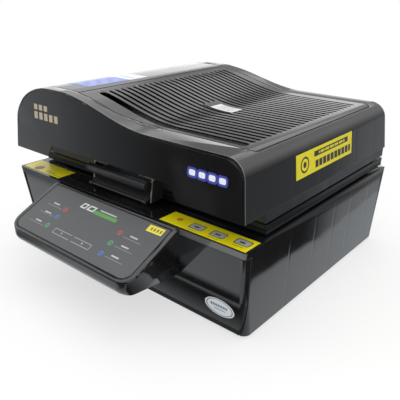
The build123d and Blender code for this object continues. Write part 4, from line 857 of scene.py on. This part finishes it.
class PRESS_OT_control_box(bpy.types.Operator):
    """Control box: housing, bezel and the printed film over the touch keys"""

    bl_idname = "press.control_box"
    bl_label = "Control box"

    def execute(self, context):
        colours = context.scene.press_colours
        body = tuple(colours.body)
        smooth_moulding("control_housing", gloss_plastic("housing_gloss", body, roughness=0.13))
        smooth_moulding("control_bezel", gloss_plastic("bezel_gloss", body, soften=0.0012, seam_and_shadow=film_gap))
        smooth_moulding("control_overlay", self.film(tuple(colours.panel)))
        return {"FINISHED"}

    def film(self, colour):
        """Matt printed film: ring symbols with plain marks, a display frame, a title of bars, a sticker."""
        finish = Finish("touch_film")
        u, v = panel_places(finish)
        base = finish.blend(colour, tuple(channel * 1.18 for channel in colour), finish.noise(7.0, 3.0))
        white = (0.72, 0.72, 0.71)
        prints = [*self.key_prints(finish, u, v, white), *self.display_prints(finish, u, v, white)]
        for ink, mask in prints:
            base = finish.blend(base, ink, mask)
        normal = finish.bump(finish.noise(2600.0, 1.0), 0.00003, 0.6, 0.0006)
        return finish.surface(base_color=base, roughness=worn(finish) * 0.08 + 0.42, normal=normal)

    def key_prints(self, finish, u, v, white):
        """Underlines, words as plain strokes, and the rings that mark the keys."""
        grey = (0.3, 0.31, 0.31)
        red = (0.62, 0.05, 0.05)
        green = (0.06, 0.42, 0.14)
        blue = (0.06, 0.2, 0.6)
        lines = ((-122, -82, 49.5), (-124, -84, 68.8), (-125, -84, 92.1),
                 (79, 118, 49.5), (79, 118, 70), (79, 118, 92))
        for start, end, level in lines:
            yield grey, finish.patch(u, v, (start, end), (level - 0.5, level + 0.5), fine) * 0.7
        words = ((-102.8, 43.3), (-101.9, 65.4), (-103.6, 86.7), (98.5, 43.5), (98.1, 64.5), (97.1, 86.2))
        for across, level in words:
            strokes = (u - across).wrap(3.0).fade(0.7, 1.0) * 0.85
            word = finish.patch(u, v, (across - 8, across + 8), (level - 1.3, level + 1.3), fine)
            yield white, word * strokes
        rings = ((red, -73.3, 46.7), (blue, -74.9, 66.1), (green, -76.6, 87.9),
                 (red, 67.9, 45.0), (green, 67.8, 68.0), (blue, 68.1, 90.5))
        for ink, across, level in rings:
            hand = finish.patch(u, v, (across - 0.7, across + 0.7), (level - 2.6, level + 2.4), fine)
            yield ink, (finish.ring(u, v, (across, level), 3.6, 4.8, fine) + hand).clip()

    def display_prints(self, finish, u, v, white):
        """Frame of the digit display with its two keys, the title's plates and bars, and the sticker."""
        outer = finish.rounded(u, v, (-6.2, 90.6), (47.7, 5.4), 1.2, fine)
        inner = finish.rounded(u, v, (-6.2, 90.6), (46.8, 4.5), 0.8, fine)
        gap = finish.span(u, -9, -3, fine)
        yield (0.5, 0.51, 0.51), ((outer - inner) * (1.0 - gap)).clip() * 0.8
        for across in (-33.0, 21.1):
            yield white, finish.ring(u, v, (across, 90.3), 0.8, 1.6, fine) * 0.8
        lean = u + v * 0.3
        for start, end, wall in ((-42.5, -29, 3.0), (-25, -8, 3.5)):
            plate = finish.patch(lean, v, (start, end), (19.5, 31), fine)
            hole = finish.patch(lean, v, (start + wall, end - 3), (22.0, 28.5), fine)
            yield white, (plate - hole) * 0.9
        strokes = (u + 16).wrap(5.2).fade(0.8, 1.1)
        yield (0.1, 0.36, 0.06), finish.patch(u, v, (-15, 43), (25.5, 32.5), fine) * strokes
        small = u.wrap(2.6).fade(0.5, 0.8) * 0.8
        yield white, finish.patch(u, v, (-5, 36), (20.4, 23.0), fine) * small
        tilted = v + u * 0.02
        yield (0.8, 0.7, 0.07), finish.patch(u, tilted, (105.5, 138), (12.0, 25.5), fine)
        bars = (u - 109).wrap(6.5).fade(2.6, 3.0) * 0.8
        yield (0.05, 0.045, 0.02), finish.patch(u, tilted, (110, 135), (16.0, 22.0), fine) * bars


class PRESS_OT_labels(bpy.types.Operator):
    """Blank films: on the ledge, the lid's side and the hump, with the oval badge"""

    bl_idname = "press.labels"
    bl_label = "Labels"

    def execute(self, context):
        colours = context.scene.press_colours
        dress(self.base_films(tuple(colours.yellow)), "base_labels")
        dress(self.lid_films(tuple(colours.yellow), tuple(colours.blue)), "lid_labels")
        return {"FINISHED"}

    def base_films(self, yellow):
        """The ledge's two yellow films, and the badge low on the front."""
        finish = Finish("ledge_film")
        bright = tuple(min(0.95, channel * 1.4) for channel in yellow)
        base = finish.blend(bright, tuple(channel * 0.9 for channel in bright), finish.noise(30.0, 3.0))
        x = finish.x / MM
        for ink, mask in self.ledge_prints(finish, x, (finish.y - lid_front) / MM):
            base = finish.blend(base, ink, mask)
        top = finish.z.fade(ledge_z - 0.002, ledge_z - 0.001)
        base = finish.blend(self.badge(finish, x), base, top)
        return self.printed_film(finish, base, 0.3)

    def ledge_prints(self, finish, x, y):
        """Three framed boxes and an orange dot on the right film; a round sign and bars on the left one."""
        for across, level in ((177.4, 21.4), (217.8, 22.5), (260.7, 26.2)):
            yield (0.14, 0.13, 0.1), finish.rounded(x, y, (across, level), (13.5, 9.0), 3.0, fine)
            yield (0.5, 0.53, 0.52), finish.rounded(x, y, (across, level), (11.5, 7.0), 2.0, fine) * 0.9
            mark = finish.patch(x, y, (across - 6, across + 4), (level - 2.4, level + 1.6), fine)
            yield (0.04, 0.04, 0.045), mark
            caption = finish.patch(x, y, (across - 10, across + 10), (level - 14.5, level - 13.2), fine)
            yield (0.06, 0.05, 0.03), caption * 0.8
        yield (0.75, 0.22, 0.02), finish.disc(x, y, (138.8, 24.4), 5.5, fine)
        yield (0.3, 0.03, 0.02), finish.disc(x, y, (-241, 19), 10.5, fine)
        yield (0.12, 0.1, 0.08), finish.disc(x, y, (-241, 19), 7.0, fine)
        strokes = x.wrap(5.5).fade(0.9, 1.2) * 0.85
        for start, end, level in ((-216, -168, 5.0), (-211, -163, 11.5), (-216, -186, 17.5)):
            yield (0.1, 0.08, 0.03), finish.patch(x, y, (start, end), (level, level + 2.6), fine) * strokes

    def badge(self, finish, x):
        """Oval silver badge with a rim line and two rows of plain marks, in shares of its half sizes."""
        low, high = min(boxes_of("base_labels"), key=lambda box: box[0].z)
        centre = (low + high) / 2
        half = (high - low) / 2
        across = (finish.x - centre.x) / half.x
        up = (finish.z - centre.z) / half.z
        reach = (across * across + up * up).math("SQRT")
        silver = finish.blend((0.62, 0.64, 0.66), (0.74, 0.75, 0.76), finish.noise(60.0, 2.0))
        silver = finish.blend(silver, (0.16, 0.2, 0.26), finish.span(reach, 0.83, 0.91, 0.01))
        strokes = (x / 5.0).wrap(1.0).fade(0.18, 0.25)
        marks = finish.patch(across, up, (-0.6, 0.55), (0.0, 0.32), 0.02) * strokes
        silver = finish.blend(silver, (0.1, 0.2, 0.34), marks)
        line = finish.patch(across, up, (-0.35, 0.4), (-0.35, -0.2), 0.02)
        return finish.blend(silver, (0.3, 0.34, 0.38), line)

    def printed_film(self, finish, base, roughness):
        """Glossy printed film over slightly uneven ground."""
        normal = finish.bump(finish.noise(40.0, 2.0), 0.00006, 1.0, 0.0002)
        rough = worn(finish) * 0.2 + roughness
        return finish.surface(base_color=base, roughness=rough, normal=normal,
                              coat_weight=0.3, coat_roughness=0.1)

    def lid_films(self, yellow, blue):
        """The lid's three films, told apart by their place across."""
        finish = Finish("lid_film")
        x = finish.x / MM
        y = (finish.y - lid_front) / MM
        side = x.fade(240.0, 245.0)
        hump = 1.0 - x.fade(-60.0, -55.0)
        above = finish.blend(self.middle_plate(finish, x, y), self.hump_film(finish, x, y, blue), hump)
        base = finish.blend(above, self.side_film(finish, y, yellow), side)
        return self.printed_film(finish, base, 0.28)

    def side_film(self, finish, y, yellow):
        """Yellow, with a dark band, a row of strokes and a ring beside them."""
        z = (finish.z - lid_z) / MM
        ink = (0.035, 0.03, 0.03)
        base = finish.blend(yellow, tuple(channel * 0.88 for channel in yellow), finish.noise(30.0, 3.0))
        base = finish.blend(base, ink, finish.patch(y, z, (190, 308), (49.5, 58.5), fine))
        gaps = y.wrap(16.0).fade(2.4, 2.8) * 0.85
        base = finish.blend(base, yellow, finish.patch(y, z, (205, 296), (52.0, 56.0), fine) * gaps)
        strokes = (y + 4).wrap(13.0).fade(2.2, 2.6)
        base = finish.blend(base, ink, finish.patch(y, z, (194, 318), (31.0, 43.0), fine) * strokes)
        base = finish.blend(base, ink, finish.disc(y, z, (161, 44), 13.0, fine))
        return finish.blend(base, yellow, finish.ring(y, z, (161, 44), 5.0, 9.8, fine))

    def hump_film(self, finish, x, y, blue):
        """Blue with faint slanting stripes, then a white end with one line."""
        base = finish.blend(blue, (0.74, 0.76, 0.8), y.fade(168.0, 170.0))
        stripes = (y * 0.5 + x * 0.35).wrap(14.0).fade(5.0, 9.0) * 0.2
        pale = tuple(channel * 2.2 + 0.1 for channel in blue)
        base = finish.blend(base, pale, finish.patch(x, y, (-184, -131), (76, 160), fine) * stripes)
        return finish.blend(base, (0.2, 0.26, 0.4), finish.patch(x, y, (-180, -136), (186, 190), fine))

    def middle_plate(self, finish, x, y):
        """Dark plate among the slots, with a white field of plain lines."""
        field = finish.patch(x, y, (48, 104), (207, 238), fine)
        base = finish.blend((0.02, 0.022, 0.025), (0.72, 0.73, 0.73), field)
        lines = finish.patch(x, y, (58, 91), (214, 238), fine) * y.wrap(6.0).fade(3.6, 4.0) * 0.75
        return finish.blend(base, (0.2, 0.21, 0.22), lines)


# ---------------------------------------------------------------- metalwork and small pieces
class PRESS_OT_handle(bpy.types.Operator):
    """Grip bar with its sleeve, cheeks and lip"""

    bl_idname = "press.handle"
    bl_label = "Handle"

    def execute(self, context):
        smooth_moulding("handle_cheeks", self.cheek_steel())
        smooth_moulding("handle_lip", satin_paint("lip_paint", (0.014, 0.014, 0.015), 0.3))
        self.grip(context.scene.press_sizes.grip_end)
        return {"FINISHED"}

    def cheek_steel(self):
        """Steel strip painted as lit and shaded: near-black on its faces as painted shade, and bare metal made
        bright along its slanting front cut and on its tabs as painted highlight.
        """
        drop, rise, lead, lean = 36 * MM, 44 * MM, 28 * MM, 7 * MM
        finish = Finish("cheek_steel")
        grain = finish.noise(40.0, 3.0, (1.0, 6.0, 1.0))
        line = (finish.z - (lid_z - drop)) * (lean / rise) + (lid_front + lead)
        cut = 1.0 - abs(finish.y - line).fade(0.0009, 0.0016)
        tab_highlight = finish.patch(finish.y - lid_front, finish.z - lid_z, (34 * MM, 46 * MM), (2 * MM, 6 * MM))
        # painted highlight: bare metal made bright along the cut line and on the tabs, where the sheet's edge
        # catches light
        bright = cut.high(tab_highlight)
        # painted shade: near-black on the faces, which lie in shade
        paint = finish.blend((0.012, 0.012, 0.013), (0.03, 0.03, 0.032), grain)
        bare = finish.blend((0.5, 0.44, 0.36), (0.72, 0.66, 0.57), grain)
        normal = finish.bump(grain, 0.00002, 0.8, 0.0003)
        return finish.surface(base_color=finish.blend(paint, bare, bright), roughness=grain * 0.15 + 0.3,
                              metallic=bright * 0.7, normal=normal)

    def grip(self, bare):
        """A turned bar: thin ends, a sleeve with sloping shoulders, and a fine groove near each end."""
        low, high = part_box("handle_bar")
        middle = (low + high) / 2
        radius = (high.z - low.z) / 2
        let_go()
        bpy.ops.mesh.primitive_cylinder_add(vertices=64, radius=radius * 0.9, depth=high.x - low.x,
                                            location=middle, rotation=(0, math.pi / 2, 0))
        bar = bpy.context.active_object
        bpy.ops.object.transform_apply(location=True, rotation=True, scale=True)
        bpy.ops.object.mode_set(mode="EDIT")
        cuts = (bare, bare + 0.0015, bare + 0.004, bare + 0.0052, bare + 0.0064)
        for cut in cuts:
            for place in (low.x + cut, high.x - cut):
                bpy.ops.mesh.select_all(action="SELECT")
                bpy.ops.mesh.bisect(plane_co=(place, middle.y, middle.z), plane_no=(1, 0, 0))
        bpy.ops.object.mode_set(mode="OBJECT")
        for vertex in bar.data.vertices:
            along = min(vertex.co.x - low.x, high.x - vertex.co.x)
            groove = abs(along - cuts[3]) < 0.0003
            size = radius if along > cuts[1] - 0.0002 and not groove else radius * (0.94 if groove else 0.9)
            away = Vector((0, vertex.co.y - middle.y, vertex.co.z - middle.z)).normalized() * size
            vertex.co = Vector((vertex.co.x, middle.y + away.y, middle.z + away.z))
        bpy.ops.object.shade_smooth_by_angle(angle=math.radians(35))
        sleeve = Finish("grip_sleeve")
        grain = sleeve.noise(30.0, 3.0, (1.0, 8.0, 8.0))
        base = sleeve.blend((0.022, 0.024, 0.026), (0.04, 0.043, 0.046), grain)
        material = sleeve.surface(base_color=base, roughness=grain * 0.12 + 0.3, metallic=0.3,
                                  normal=sleeve.bump(sleeve.noise(900.0, 2.0), 0.00003, 0.8))
        finish_piece(bar, "grip_bar", "lid", slot_of("handle_bar"), material, "handle_bar")


class PRESS_OT_screws(bpy.types.Operator):
    """Cross-head screws of the membrane frame, the bottom plate and the handle"""

    bl_idname = "press.screws"
    bl_label = "Screws"

    def execute(self, context):
        material = bright_metal("screw_plating", (0.6, 0.6, 0.6), 0.22)
        slot = context.scene.press_sizes.screw_slot
        self.heads("membrane_frame_screws", "frame_screw_heads", "membrane_frame", 2, 1, slot, material)
        self.heads("bottom_screws", "bottom_screw_heads", "base", 2, -1, slot, material)
        black = satin_paint("screw_blacking", (0.015, 0.015, 0.016), 0.4, 0.4)
        self.heads("handle_screws", "handle_screw_heads", "lid", 0, 0, slot, black)
        return {"FINISHED"}

    def head(self, radius, height, slot):
        """A pan head that stands on z = 0, with a rounded rim and a sunk cross."""
        head = standing_disc(28, radius, height)
        bpy.ops.object.mode_set(mode="EDIT")
        select_faces(head, lambda centre, normal: normal.z > 0.9)
        bpy.ops.mesh.bevel(offset=min(height * 0.45, radius * 0.3), segments=4, profile=0.5, affect="EDGES")
        bpy.ops.object.mode_set(mode="OBJECT")
        cutters = []
        for angle in (0, math.pi / 2):
            bpy.ops.mesh.primitive_cube_add(size=1.0, location=(0, 0, height), rotation=(0, 0, angle),
                                            scale=(radius * 1.15, slot, height * 0.9))
            cutters.append(bpy.context.active_object)
        for cutter in cutters:
            apply_modifier(head, "BOOLEAN", operation="DIFFERENCE", object=cutter, solver="EXACT")
            bpy.data.objects.remove(cutter)
        take(head)
        bpy.ops.object.shade_smooth_by_angle(angle=math.radians(35))
        return head

    def heads(self, node, name, body, axis, side, slot, material):
        """Heads for a node's screws along an axis, to one side, or away from the grip where side is 0."""
        grip_low, grip_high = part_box("handle_bar")
        grip_middle = (grip_low.x + grip_high.x) / 2
        turn_step = 37
        boxes = boxes_of(node)
        low, high = boxes[0]
        across = (axis + 1) % 3
        radius = (high[across] - low[across]) / 2
        height = high[axis] - low[axis]
        template = self.head(radius, height, slot)
        places = []
        for index, (low, high) in enumerate(boxes):
            middle = (low + high) / 2
            way = side or (1 if middle[axis] > grip_middle else -1)
            base = middle.copy()
            base[axis] = low[axis] if way > 0 else high[axis]
            out = Vector((0, 0, 0))
            out[axis] = way
            turn = out.to_track_quat("Z", "Y").to_matrix().to_4x4()
            spin = Matrix.Rotation(math.radians(turn_step * index % 90), 4, "Z")
            places.append(Matrix.Translation(base) @ turn @ spin)
        finish_piece(repeat(template, places), name, body, slot_of(node), material, node)


class PRESS_OT_feet(bpy.types.Operator):
    """Four moulded rubber feet with rounded rims and a recess"""

    bl_idname = "press.feet"
    bl_label = "Feet"

    def execute(self, context):
        boxes = boxes_of("rubber_feet")
        low, high = boxes[0]
        radius = (high.x - low.x) / 2
        height = high.z - low.z
        foot = standing_disc(48, radius, height)
        bpy.ops.object.mode_set(mode="EDIT")
        select_faces(foot, lambda centre, normal: normal.z < -0.9)
        bpy.ops.mesh.bevel(offset=height * 0.3, segments=4, profile=0.5, affect="EDGES")
        select_faces(foot, lambda centre, normal: normal.z < -0.99)
        bpy.ops.mesh.inset(thickness=radius * 0.45, depth=0.0)
        bpy.ops.mesh.inset(thickness=radius * 0.04, depth=height * -0.5)
        bpy.ops.object.mode_set(mode="OBJECT")
        bpy.ops.object.shade_smooth_by_angle(angle=math.radians(35))
        places = []
        for low, high in boxes:
            middle = (low + high) / 2
            places.append(Matrix.Translation((middle.x, middle.y, low.z)))
        finish_piece(repeat(foot, places), "moulded_feet", "base", slot_of("rubber_feet"),
                     rubber("foot_rubber"), "rubber_feet")
        return {"FINISHED"}


class PRESS_OT_membrane(bpy.types.Operator):
    """Silicone sheet stretched in its frame, a little slack in the middle"""

    bl_idname = "press.membrane"
    bl_label = "Membrane"

    def execute(self, context):
        low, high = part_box("silicone_membrane")
        middle = (low + high) / 2
        size = high - low
        sag = context.scene.press_sizes.membrane_sag
        let_go()
        bpy.ops.mesh.primitive_grid_add(x_subdivisions=64, y_subdivisions=48, size=1.0, location=middle)
        membrane = bpy.context.active_object
        membrane.scale = (size.x, size.y, 1.0)
        bpy.ops.object.transform_apply(location=True, rotation=True, scale=True)
        for vertex in membrane.data.vertices:
            across = (vertex.co.x - middle.x) / (size.x / 2)
            along = (vertex.co.y - middle.y) / (size.y / 2)
            hold = max(0.0, 1.0 - (across / 0.9) ** 2) * max(0.0, 1.0 - (along / 0.87) ** 2)
            ripple = 0.12 * math.sin(9.0 * across + 2.0 * along) * math.sin(7.0 * along - across)
            vertex.co.z -= sag * hold * (1.0 + ripple)
        apply_modifier(membrane, "SOLIDIFY", thickness=size.z, offset=0.0)
        take(membrane)
        bpy.ops.object.shade_smooth_by_angle(angle=math.radians(40))
        finish_piece(membrane, "silicone_sheet", "membrane_frame", slot_of("silicone_membrane"),
                     silicone("membrane_silicone"), "silicone_membrane")
        return {"FINISHED"}


class PRESS_OT_frames(bpy.types.Operator):
    """Skirt, membrane frame and hinge leaves in powder-coated steel, with their pins"""

    bl_idname = "press.frames"
    bl_label = "Skirt, frame and hinges"

    def execute(self, context):
        colour = tuple(context.scene.press_colours.steel)
        paint = satin_paint("blue_black_paint", colour, 0.3)
        for name in ("lid_inner_skirt", "membrane_frame_hinge_leaves", "lid_hinge_leaves",
                     "hinge_base_brackets"):
            smooth_moulding(name, paint)
        bar = satin_paint("frame_anodising", colour, 0.26, 0.6)
        for name in ("membrane_frame_upper", "membrane_frame_lower"):
            smooth_moulding(name, bar)
        smooth_moulding("hinge_pins", bright_metal("pin_steel"))
        return {"FINISHED"}


class PRESS_OT_heat_chamber(bpy.types.Operator):
    """Liner, heaters, probe, impeller, motor, seal and blanket inside the lid"""

    bl_idname = "press.heat_chamber"
    bl_label = "Heat chamber"

    def execute(self, context):
        heater = brushed_steel("heater_steel", (0.42, 0.4, 0.36), (30.0, 4.0, 30.0), 0.36, 0.8)
        smooth_moulding("heat_chamber_liner", brushed_steel("liner_steel", heat=0.5))
        smooth_moulding("heating_tubes", heater)
        smooth_moulding("temperature_probe", bright_metal("probe_steel"))
        smooth_moulding("heater_holders", ceramic("heater_ceramic"))
        smooth_moulding("circulation_impeller", cast_alloy("impeller_alloy", (0.6, 0.61, 0.62)))
        smooth_moulding("circulation_motor", satin_paint("motor_enamel", (0.03, 0.03, 0.034), 0.34))
        smooth_moulding("lid_seal", rubber("seal_rubber", (0.05, 0.048, 0.046)))
        self.blanket()
        return {"FINISHED"}

    def blanket(self):
        """Padded blanket round the liner, a merged copy of its solid under matted fibre."""
        piece = smooth_moulding("lid_insulation", felt("fibre_felt"), 60.0, "fibre_blanket")


class PRESS_OT_tray(bpy.types.Operator):
    """Vacuum tray, platen and its rails, with the tray's gasket"""

    bl_idname = "press.tray"
    bl_label = "Tray and platen"

    def execute(self, context):
        platen = brushed_steel("platen_steel", (0.62, 0.62, 0.6), (240.0, 4.0, 240.0), 0.32, 0.25)
        smooth_moulding("vacuum_tray", brushed_steel("tray_steel", stretch=(4.0, 240.0, 240.0)))
        smooth_moulding("perforated_platen", platen)
        smooth_moulding("platen_rails", brushed_steel("rail_steel", (0.5, 0.5, 0.49)))
        smooth_moulding("tray_gasket", rubber("gasket_rubber", (0.03, 0.03, 0.03)))
        return {"FINISHED"}


class PRESS_OT_vacuum_set(bpy.types.Operator):
    """Pump, its cradle and tail fan, the valve, nipple and hoses"""

    bl_idname = "press.vacuum_set"
    bl_label = "Vacuum set"

    def execute(self, context):
        smooth_moulding("pump_motor", satin_paint("pump_enamel", (0.03, 0.031, 0.034), 0.36))
        smooth_moulding("pump_head", cast_alloy("pump_casting"))
        smooth_moulding("pump_tail_fan", grained_plastic("tail_fan_plastic"))
        smooth_moulding("pump_cradle", cast_alloy("zinc_plate", (0.5, 0.51, 0.5)))
        smooth_moulding("solenoid_valve", brass("valve_brass"))
        smooth_moulding("tray_nipple", brass("nipple_brass"))
        smooth_moulding("tray_hose", rubber("tray_hose_rubber"))
        smooth_moulding("pump_hose", rubber("pump_hose_rubber"))
        return {"FINISHED"}


class PRESS_OT_rear_ports(bpy.types.Operator):
    """Power inlet, rocker switch and cooling fan in the rear wall"""

    bl_idname = "press.rear_ports"
    bl_label = "Rear ports"

    def execute(self, context):
        smooth_moulding("power_inlet", self.inlet())
        smooth_moulding("power_switch_body", grained_plastic("switch_plastic"))
        smooth_moulding("power_switch_rocker", self.rocker())
        smooth_moulding("cooling_fan_frame", grained_plastic("fan_frame_plastic"))
        smooth_moulding("cooling_fan_rotor", grained_plastic("fan_rotor_plastic", (0.03, 0.03, 0.033), 0.4))
        smooth_moulding("cooling_fan_guard", bright_metal("guard_plating", (0.66, 0.66, 0.66), 0.24))
        return {"FINISHED"}

    def inlet(self):
        """Black thermoplastic; the three contacts in the socket are bright."""
        finish = Finish("inlet_plastic")
        low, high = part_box("power_inlet")
        middle = (low + high) / 2
        across = finish.x - middle.x
        near = finish.patch(across, finish.z - middle.z, (-0.009, 0.009), (-0.0024, 0.0024), 0.0001)
        inside = near * (1.0 - finish.y.fade(high.y - 0.0035, high.y - 0.003))
        base = finish.blend((0.02, 0.02, 0.022), (0.62, 0.6, 0.52), inside)
        normal = finish.bump(finish.noise(2200.0, 2.0), 0.00005, 0.8, 0.0006)
        return finish.surface(base_color=base, roughness=0.45 - inside * 0.2, metallic=inside, normal=normal)

    def rocker(self):
        """Red translucent-looking rocker with a plain line and ring."""
        finish = Finish("rocker_plastic")
        low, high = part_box("power_switch_rocker")
        middle = (low + high) / 2
        x = (finish.x - middle.x) / MM
        z = (finish.z - middle.z) / MM
        line = finish.patch(x, z, (-0.45, 0.45), (4.0, 7.5), 0.12)
        ring = finish.disc(x, z, (0, -5.6), 1.9, 0.12) - finish.disc(x, z, (0, -5.6), 1.2, 0.12)
        base = finish.blend((0.45, 0.02, 0.015), (0.55, 0.04, 0.03), finish.noise(80.0, 2.0))
        base = finish.blend(base, (0.8, 0.8, 0.78), (line + ring).clip())
        normal = finish.bump(finish.noise(900.0, 1.0), 0.00002, 0.6, 0.0005)
        return finish.surface(base_color=base, roughness=0.2 + finish.noise(50.0, 2.0) * 0.1, normal=normal)


class PRESS_OT_electrics(bpy.types.Operator):
    """Boards, display, relay, heat sink and transformer, with the bottom plate"""

    bl_idname = "press.electrics"
    bl_label = "Electrics"

    def execute(self, context):
        board = circuit_board("solder_mask")
        smooth_moulding("control_board", board)
        smooth_moulding("power_board", board)
        smooth_moulding("control_display", gloss_plastic("display_window", (0.015, 0.006, 0.006), 0.1))
        smooth_moulding("solid_state_relay", grained_plastic("relay_plastic", (0.03, 0.03, 0.03), 0.4))
        smooth_moulding("relay_heatsink", cast_alloy("fin_alloy", (0.55, 0.56, 0.58)))
        smooth_moulding("transformer", laminated_core("laminations"))
        smooth_moulding("bottom_plate", self.zinc())
        return {"FINISHED"}

    def zinc(self):
        """Galvanised sheet with its crystal spangle."""
        finish = Finish("galvanised_sheet")
        spangle = finish.cells(70.0, "Color")
        tone = finish.node("ShaderNodeSeparateColor", {}, {0: spangle}, 0)
        base = finish.blend((0.36, 0.37, 0.38), (0.54, 0.55, 0.56), tone)
        return finish.surface(base_color=base, roughness=tone * 0.2 + 0.34, metallic=0.9,
                              normal=finish.bump(tone, 0.00003, 0.6))


pieces = (PRESS_OT_stage, PRESS_OT_lid_mouldings, PRESS_OT_front_panel, PRESS_OT_base_mouldings,
          PRESS_OT_control_box, PRESS_OT_labels, PRESS_OT_handle, PRESS_OT_screws, PRESS_OT_feet,
          PRESS_OT_membrane, PRESS_OT_frames, PRESS_OT_heat_chamber, PRESS_OT_tray, PRESS_OT_vacuum_set,
          PRESS_OT_rear_ports, PRESS_OT_electrics)


class PRESS_PT_sidebar(bpy.types.Panel):
    """Colours, sizes and the makers of each group"""

    bl_idname = "PRESS_PT_sidebar"
    bl_label = "Vacuum press"
    bl_space_type = "VIEW_3D"
    bl_region_type = "UI"
    bl_category = "Press"

    def draw(self, context):
        for group in (context.scene.press_colours, context.scene.press_sizes):
            box = self.layout.box()
            for name in group.__annotations__:
                box.prop(group, name)
        for piece in pieces:
            self.layout.operator(piece.bl_idname)


classes = (PressColours, PressSizes, *pieces, PRESS_PT_sidebar)


def register():
    for item in classes:
        bpy.utils.register_class(item)
    bpy.types.Scene.press_colours = bpy.props.PointerProperty(type=PressColours)
    bpy.types.Scene.press_sizes = bpy.props.PointerProperty(type=PressSizes)


def unregister():
    del bpy.types.Scene.press_sizes
    del bpy.types.Scene.press_colours
    for item in reversed(classes):
        bpy.utils.unregister_class(item)


def main():
    register()
    for piece in pieces:
        group, name = piece.bl_idname.split(".")
        getattr(getattr(bpy.ops, group), name)()


if __name__ == "__main__":
    main()
